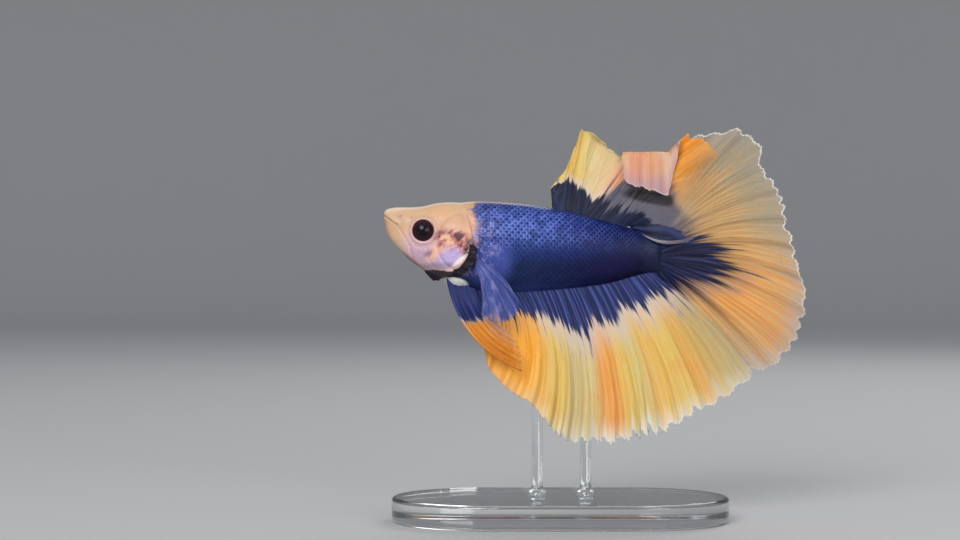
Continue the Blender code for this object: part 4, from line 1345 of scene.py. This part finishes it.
def make_anal(fins):
    yellow, pale, gold = tuple(fins.yellow), tuple(fins.pale), (0.9, 0.45, 0.04)
    finish = fin_finish(
        "betta_anal_fin",
        fins,
        ANAL_RAYS,
        navy=(
            (0.0, 0.34), (0.1, 0.27), (0.18, 0.19), (0.36, 0.2), (0.44, 0.26), (0.54, 0.26), (0.62, 0.25),
            (0.7, 0.2), (0.82, 0.18), (1.0, 0.16),
        ),
        bands=(
            (0.0, gold), (0.2, gold), (0.25, (0.86, 0.48, 0.07)), (0.3, (0.76, 0.5, 0.13)),
            (0.36, yellow), (0.43, (0.62, 0.5, 0.24)), (0.49, pale), (0.54, (0.8, 0.4, 0.1)),
            (0.59, (0.83, 0.34, 0.05)), (0.65, yellow), (0.7, (0.66, 0.56, 0.22)),
            (0.76, (0.76, 0.46, 0.1)), (0.84, yellow), (0.89, (0.74, 0.4, 0.08)),
            (0.94, (0.62, 0.46, 0.17)), (1.0, (0.46, 0.4, 0.22)),
        ),
        clear=((0.0, 0.97), (0.45, 0.92), (0.8, 0.88), (1.0, 0.8)),
        see_through=((0.0, 1.0), (0.2, 1.0), (0.35, 0.9), (0.92, 0.85), (1.0, 0.6)),
        under=((0.86, 0.4, 0.03), ((0.0, 1.3), (0.14, 1.2), (0.24, 0.5), (0.3, 0.0)), 0.75),
        dark=((0.01, 0.018, 0.08), (0.07, 0.1, 0.36)),
        tips=(
            0.84, ((0.0, 0.0), (0.2, 0.25), (0.42, 0.6), (0.55, 1.0), (0.78, 0.8), (1.0, 0.4)),
            (0.78, 0.76, 0.68),
        ),
        rim=((0.0, 0.0), (0.3, 0.2), (0.5, 0.9), (0.75, 1.0), (1.0, 0.5)),
        line=((0.86, 0.62, 0.28), 0.25),
        cream=(0.26, 0.85, None),
        uneven=(0.26, 0.4),
        seed=3.0,
    )
    fin = make_fin("anal_fin_web", finish, anal_point, ANAL_RAYS, 432, 60, (0.3, 0.6), fins)
    settle(fin, "anal_fin", "anal_fin")


def make_pelvics(fins):
    finish = fin_finish(
        "betta_pelvic_fin",
        fins,
        PELVIC_RAYS,
        navy=((0.0, 0.34), (0.6, 0.36), (1.0, 0.4)),
        bands=(
            (0.0, (0.68, 0.24, 0.03)), (0.5, (0.74, 0.28, 0.02)), (0.8, (0.66, 0.33, 0.14)),
            (1.0, (0.44, 0.32, 0.36)),
        ),
        clear=((0.0, 0.97), (0.8, 0.9), (1.0, 0.7)),
        dark=((0.012, 0.02, 0.1), (0.04, 0.06, 0.24)),
        line=((0.8, 0.42, 0.12), 0.3),
        tips=(0.9, ((0.0, 0.0), (1.0, 0.3)), None),
        cream=(0.03, 0.8, None),
        fade=((0.0, 0.5), (1.0, 0.7)),
        seed=4.0,
    )
    for label, hand in SIDES:
        fin = make_fin(
            f"pelvic_fin_web_{label}", finish, lambda s, t: pelvic_point(hand, s, t), PELVIC_RAYS, 96, 56,
            (0.5,), fins, root_half=((0, 0.3),), tuck=0.08,
        )
        settle(fin, "pelvic_fin", f"pelvic_fin_{label}")


def pectoral_finish():
    """Clear blue membrane with lavender lights between darker rays."""
    paint = Paint("betta_pectoral_fin")
    s, t = paint.own_map(FIN_MAP)
    lined = paint.combine(paint.times(s, float(PECTORAL_RAYS)), paint.times(t, 0.8))
    fine = paint.noise(lined, 1.6, 3.0)
    cloud = paint.noise(paint.combine(paint.times(s, 3.0), paint.times(t, 3.0)), 1.3, 2.0)
    ray = paint.ray()
    colour = paint.mix(paint.ease(fine, 0.35, 0.65), (0.03, 0.045, 0.22), (0.07, 0.1, 0.38))
    lit = paint.times(paint.ease(cloud, 0.46, 0.66), paint.ease(fine, 0.3, 0.6))
    colour = paint.mix(paint.times(lit, 0.7), colour, (0.27, 0.28, 0.52))
    colour = paint.mix(paint.times(ray, 0.35), colour, (0.12, 0.14, 0.42))
    colour = paint.mix(paint.ease(t, 0.12, -0.02), colour, (0.03, 0.05, 0.22))
    faded = paint.ramp(t, ((0.0, 0.85), (0.25, 0.5), (0.8, 0.4), (1.0, 0.22)))
    opacity = paint.math("MAXIMUM", faded, paint.times(ray, 0.5))
    return paint.set(
        Base_Color=colour, Roughness=paint.ease(cloud, 0.3, 0.7, 0.34, 0.46),
        Normal=paint.bump(fine, 0.3, 0.04), Specular_IOR_Level=0.3, Alpha=opacity,
    )


def make_pectorals(fins):
    finish = pectoral_finish()
    for label, hand in SIDES:
        fin = make_fin(
            f"pectoral_fin_web_{label}", finish, lambda s, t: pectoral_point(hand, s, t), PECTORAL_RAYS,
            108, 40, (0.4,), fins, root_half=((0, 0.3),), tuck=0.1,
        )
        settle(fin, "pectoral_fin", f"pectoral_fin_{label}")


# ---------------------------------------------------------------- stand
def acrylic_finish(stand):
    paint = Paint("clear_acrylic")
    place = paint.fish_place()
    haze = paint.noise(place, 0.2, 2.0)
    smudges = paint.noise(place, 0.35, 4.0, 0.65)
    return paint.set(
        Base_Color=paint.mix(haze, tuple(stand.tint), (0.93, 0.96, 0.97)),
        Roughness=paint.ease(smudges, 0.5, 0.75, 0.02, 0.09), IOR=1.49, Transmission_Weight=1.0,
    )


def make_base(stand, finish):
    """A thick plate with round ends and a softened rim."""
    low, high = box_mm("stand_base")
    radius = (high[1] - low[1]) / 2
    straight = (high[0] - low[0]) / 2 - radius
    centre = (low + high) / 2
    deselect()
    bpy.ops.mesh.primitive_cylinder_add(
        vertices=160, radius=radius * MM, depth=(high[2] - low[2]) * MM, location=tuple(centre * MM),
    )
    plate = started("display_base", finish)
    finish_shape(plate)
    edit_mode(plate)
    for hand in (-1, 1):
        pick(plate, lambda p, v: (p.x - centre[0]) * hand > 0.01)
        bpy.ops.transform.translate(value=(hand * straight * MM, 0, 0))
    bpy.ops.mesh.select_mode(type="EDGE")
    pick(
        plate, lambda p, e: len(e.link_faces) == 2 and abs(e.verts[0].co.z - e.verts[1].co.z) < 1e-7,
        "edges",
    )
    bpy.ops.mesh.bevel(offset=stand.bevel, segments=5, profile=0.5)
    object_mode()
    finish_shape(plate, 30)
    settle(plate, "clear_acrylic", "stand_base")


FOOT_SHARE = 1.7  # of the rod's radius
FOOT_SINK = 0.02  # how far the foot stands in the base
ROD_RISE = 0.16  # how far the cut lies above the body's plain surface, in the coat's depth


def make_rod(name, finish):
    """A rod on a small flared foot, its top cut to lie against the fish's underside."""
    low, high = box_mm(name)
    centre, radius = (low + high) / 2, (high[0] - low[0]) / 2
    foot = BASE_TOP - FOOT_SINK
    deselect()
    bpy.ops.mesh.primitive_circle_add(
        vertices=48, radius=FOOT_SHARE * radius * MM, fill_type="NGON",
        location=(centre[0] * MM, centre[1] * MM, foot * MM),
    )
    rod = started(name.replace("stand", "display"), finish)
    finish_shape(rod)
    edit_mode(rod)
    bpy.ops.mesh.select_all(action="SELECT")
    level, wide = foot, FOOT_SHARE * radius
    # How far up each ring stands, and its radius as a share of the rod's.
    steps = ((0.35, 1.66), (0.55, 1.5), (0.8, 1.22), (1.1, 1.06), (1.5, 1.0), (high[2] + 1.5 - foot, 1.0))
    for rise, share in steps:
        bpy.ops.mesh.extrude_region_move(TRANSFORM_OT_translate={"value": (0, 0, (foot + rise - level) * MM)})
        level = foot + rise
        factor = share * radius / wide
        bpy.ops.transform.resize(
            value=(factor, factor, 1), center_override=(centre[0] * MM, centre[1] * MM, level * MM),
        )
        wide = share * radius
    bpy.ops.mesh.select_all(action="SELECT")
    along, step = np.array([centre[0] - MOUTH_X]), 0.05
    side = np.array([centre[1]])
    here = float(belly_under(along, side)[0])
    rise_along = (float(belly_under(along + step, side)[0]) - here) / step
    rise_side = (float(belly_under(along, side + step)[0]) - here) / step
    bpy.ops.mesh.bisect(
        plane_co=(centre[0] * MM, centre[1] * MM, (here + ROD_RISE) * MM),
        plane_no=(-rise_along, -rise_side, 1), use_fill=True, clear_outer=True,
    )
    object_mode()
    outward(rod)
    finish_shape(rod, 30)
    settle(rod, "clear_acrylic", name)


# ---------------------------------------------------------------- stage
def floor_finish(stage):
    paint = Paint("studio_floor")
    mottle = paint.noise(paint.node("ShaderNodeTexCoord").outputs["Object"], 3.0, 3.0)
    darker = tuple(0.97 * c for c in stage.floor)
    return paint.set(Base_Color=paint.mix(mottle, tuple(stage.floor), darker), Roughness=0.75)


FLOOR_GAP = 0.00003  # keeps the floor clear of the base's underside


def make_cove(stage):
    """A round floor that curves up into a low wall on every side."""
    radius, bend, wall = 1.3, 0.5, 0.7
    deselect()
    bpy.ops.mesh.primitive_circle_add(
        vertices=128, radius=radius, fill_type="NGON", location=(0, 0, -FLOOR_GAP),
    )
    cove = started("studio_cove", floor_finish(stage))
    edit_mode(cove, "EDGE")
    pick(cove, lambda p, e: True, "edges")
    wide, level = radius, -FLOOR_GAP
    steps = 16
    for i in range(1, steps + 2):
        turn = math.pi / 2 * min(i, steps) / steps
        next_wide = radius + bend * math.sin(turn)
        next_level = bend * (1 - math.cos(turn)) + (wall if i > steps else 0.0) - FLOOR_GAP
        bpy.ops.mesh.extrude_edges_move(TRANSFORM_OT_translate={"value": (0, 0, next_level - level)})
        factor = next_wide / wide
        bpy.ops.transform.resize(value=(factor, factor, 1), center_override=(0, 0, next_level))
        wide, level = next_wide, next_level
    object_mode()
    finish_shape(cove, 60)


def add_area_light(name, place, target, size, power):
    aim = (Vector(target) - Vector(place)).to_track_quat("-Z", "Y").to_euler()
    bpy.ops.object.light_add(type="AREA", location=place, rotation=aim)
    lamp = bpy.context.object
    lamp.name = name
    lamp.data.shape = "DISK"
    lamp.data.size = size
    lamp.data.energy = power


def make_stage(stage):
    make_cove(stage)
    scene = bpy.context.scene
    low, high = CAD_BOX
    middle = (low + high) / 2
    deselect()
    add_area_light("key_light", (-0.26, -0.72, 0.42), middle, 0.45, stage.key_power)
    add_area_light("fill_light", (0.36, -0.7, 0.12), middle, 0.5, stage.fill_power)
    add_area_light("rim_light", (0.25, 0.5, 0.5), middle, 0.4, stage.rim_power)
    world = bpy.data.worlds.new("studio_air")
    world.use_nodes = True
    world.node_tree.nodes["Background"].inputs[0].default_value = (0.9, 0.93, 1.0, 1.0)
    world.node_tree.nodes["Background"].inputs[1].default_value = stage.air_strength
    scene.world = world
    scene.view_settings.view_transform = "Standard"

    sensor = 0.036
    distance = stage.view_width * stage.lens * MM / sensor
    place = (low.x + stage.view_behind_mouth, -distance, stage.view_height)
    bpy.ops.object.camera_add(location=place, rotation=(math.pi / 2, 0, 0))
    camera = bpy.context.object
    camera.name = "side_view"
    camera.data.lens = stage.lens
    camera.data.sensor_width = sensor / MM
    camera.data.clip_start = 0.01
    camera.data.clip_end = 10
    scene.camera = camera


# ---------------------------------------------------------------- settings
def colour_setting(label, text, value):
    return FloatVectorProperty(
        name=label, description=text, default=value, subtype="COLOR", size=3, min=0, max=1,
    )


def length_setting(label, text, value):
    return FloatProperty(name=label, description=text, default=value, unit="LENGTH", min=0, precision=5)


def power_setting(label, text, value):
    return FloatProperty(name=label, description=text, default=value, min=0, unit="POWER")


class BettaBodySettings(bpy.types.PropertyGroup):
    coat_depth: length_setting("Coat depth", "How far the skin lies inside the solids", 0.00018)
    scale_pitch: length_setting("Scale pitch", "From one scale to the next in a row", 0.00094)
    scale_row_pitch: length_setting("Row pitch", "From one row of scales to the next", 0.00053)
    scale_thickness: length_setting("Scale thickness", "Thickness at a scale's edge", 0.00007)


class BettaFinSettings(bpy.types.PropertyGroup):
    membrane: length_setting("Membrane", "Thickness between the rays", 0.00014)
    ray_height: length_setting("Ray height", "How far a ray stands out on each side", 0.00008)
    navy: colour_setting("Navy", "The darkest colour at the roots", (0.014, 0.018, 0.075))
    blue: colour_setting("Blue", "The lights in the navy", (0.045, 0.07, 0.3))
    cream: colour_setting("Cream", "Between the navy and the bands", (0.68, 0.56, 0.5))
    yellow: colour_setting("Yellow", "The main colour of the outer fins", (0.76, 0.55, 0.12))
    orange: colour_setting("Orange", "The deeper bands", (0.78, 0.36, 0.07))
    pale: colour_setting("Pale", "The lighter streaks", (0.7, 0.58, 0.27))
    tip: colour_setting("Tips", "The fins' outermost edge", (0.6, 0.56, 0.5))


class BettaEyeSettings(bpy.types.PropertyGroup):
    iris: colour_setting("Iris", "The main colour round the pupil", (0.012, 0.006, 0.008))


class BettaStandSettings(bpy.types.PropertyGroup):
    tint: colour_setting("Tint", "The clear plastic's tint", (0.97, 0.99, 0.99))
    bevel: length_setting("Bevel", "Width of the softened rim", 0.0006)


class BettaStageSettings(bpy.types.PropertyGroup):
    floor: colour_setting("Floor", "Floor and backdrop", (0.42, 0.42, 0.42))
    key_power: power_setting("Key", "Power of the main light", 6.2)
    fill_power: power_setting("Fill", "Power of the fill light", 3.4)
    rim_power: power_setting("Rim", "Power of the light from behind", 1.5)
    air_strength: FloatProperty(name="Air", description="Light from all round", default=0.62, min=0)
    lens: FloatProperty(name="Lens", description="Focal length in millimetres", default=85, min=20)
    view_width: length_setting("View width", "Width seen at the fish", 0.1536)
    view_behind_mouth: length_setting("View centre", "Where the view looks, behind the mouth", 0.01536)
    view_height: length_setting("View height", "Height of the camera", 0.04016)


# ---------------------------------------------------------------- operators
class BETTA_OT_skin(bpy.types.Operator):
    """Make the skin, one surface from the lips to the root of the tail fin"""

    bl_idname = "betta.make_skin"
    bl_label = "Skin"

    def execute(self, context):
        make_skin(context.scene.betta_body)
        return {"FINISHED"}


class BETTA_OT_scales(bpy.types.Operator):
    """Make the scales of both sides"""

    bl_idname = "betta.make_scales"
    bl_label = "Scales"

    def execute(self, context):
        make_scales(context.scene.betta_body)
        return {"FINISHED"}


class BETTA_OT_eyes(bpy.types.Operator):
    """Make the eyeballs"""

    bl_idname = "betta.make_eyes"
    bl_label = "Eyes"

    def execute(self, context):
        make_eyes(context.scene.betta_eyes)
        return {"FINISHED"}


class BETTA_OT_gill_fringes(bpy.types.Operator):
    """Make the dark folded membranes under the gill covers"""

    bl_idname = "betta.make_gill_fringes"
    bl_label = "Gill fringes"

    def execute(self, context):
        make_gill_fringes()
        return {"FINISHED"}


class BETTA_OT_dorsal_fin(bpy.types.Operator):
    """Make the fin of the back, its middle flopped over"""

    bl_idname = "betta.make_dorsal_fin"
    bl_label = "Dorsal fin"

    def execute(self, context):
        make_dorsal(context.scene.betta_fins)
        return {"FINISHED"}


class BETTA_OT_caudal_fin(bpy.types.Operator):
    """Make the half-moon tail fin"""

    bl_idname = "betta.make_caudal_fin"
    bl_label = "Tail fin"

    def execute(self, context):
        make_caudal(context.scene.betta_fins)
        return {"FINISHED"}


class BETTA_OT_anal_fin(bpy.types.Operator):
    """Make the long fin under the body"""

    bl_idname = "betta.make_anal_fin"
    bl_label = "Anal fin"

    def execute(self, context):
        make_anal(context.scene.betta_fins)
        return {"FINISHED"}


class BETTA_OT_paired_fins(bpy.types.Operator):
    """Make the pelvic and pectoral fins of both sides"""

    bl_idname = "betta.make_paired_fins"
    bl_label = "Paired fins"

    def execute(self, context):
        make_pelvics(context.scene.betta_fins)
        make_pectorals(context.scene.betta_fins)
        return {"FINISHED"}


class BETTA_OT_stand(bpy.types.Operator):
    """Make the clear base and rods"""

    bl_idname = "betta.make_stand"
    bl_label = "Display stand"

    def execute(self, context):
        stand = context.scene.betta_stand
        finish = acrylic_finish(stand)
        make_base(stand, finish)
        for name in ("stand_rod_front", "stand_rod_rear"):
            make_rod(name, finish)
        return {"FINISHED"}


class BETTA_OT_stage(bpy.types.Operator):
    """Set the floor, lights and camera"""

    bl_idname = "betta.make_stage"
    bl_label = "Stage"

    def execute(self, context):
        make_stage(context.scene.betta_stage)
        return {"FINISHED"}


SETTINGS = {
    "betta_body": BettaBodySettings, "betta_fins": BettaFinSettings, "betta_eyes": BettaEyeSettings,
    "betta_stand": BettaStandSettings, "betta_stage": BettaStageSettings,
}
OPERATORS = (
    BETTA_OT_skin, BETTA_OT_scales, BETTA_OT_eyes, BETTA_OT_gill_fringes, BETTA_OT_dorsal_fin,
    BETTA_OT_caudal_fin, BETTA_OT_anal_fin, BETTA_OT_paired_fins, BETTA_OT_stand, BETTA_OT_stage,
)


class BETTA_PT_panel(bpy.types.Panel):
    """Lists the pieces and their settings"""

    bl_label = "Halfmoon Betta"
    bl_idname = "BETTA_PT_panel"
    bl_space_type = "VIEW_3D"
    bl_region_type = "UI"
    bl_category = "Betta"

    def draw(self, context):
        for operator in OPERATORS:
            self.layout.operator(operator.bl_idname)
        for key, group in SETTINGS.items():
            box = self.layout.box()
            box.label(text=key.replace("_", " ").capitalize())
            for name in group.__annotations__:
                box.prop(getattr(context.scene, key), name)


CLASSES = (*SETTINGS.values(), *OPERATORS, BETTA_PT_panel)


def register():
    for each in CLASSES:
        bpy.utils.register_class(each)
    for key, group in SETTINGS.items():
        setattr(bpy.types.Scene, key, PointerProperty(type=group))


def unregister():
    for key in SETTINGS:
        delattr(bpy.types.Scene, key)
    for each in reversed(CLASSES):
        bpy.utils.unregister_class(each)


def main():
    register()
    for operator in OPERATORS:
        group, name = operator.bl_idname.split(".")
        getattr(getattr(bpy.ops, group), name)()


if __name__ == "__main__":
    main()
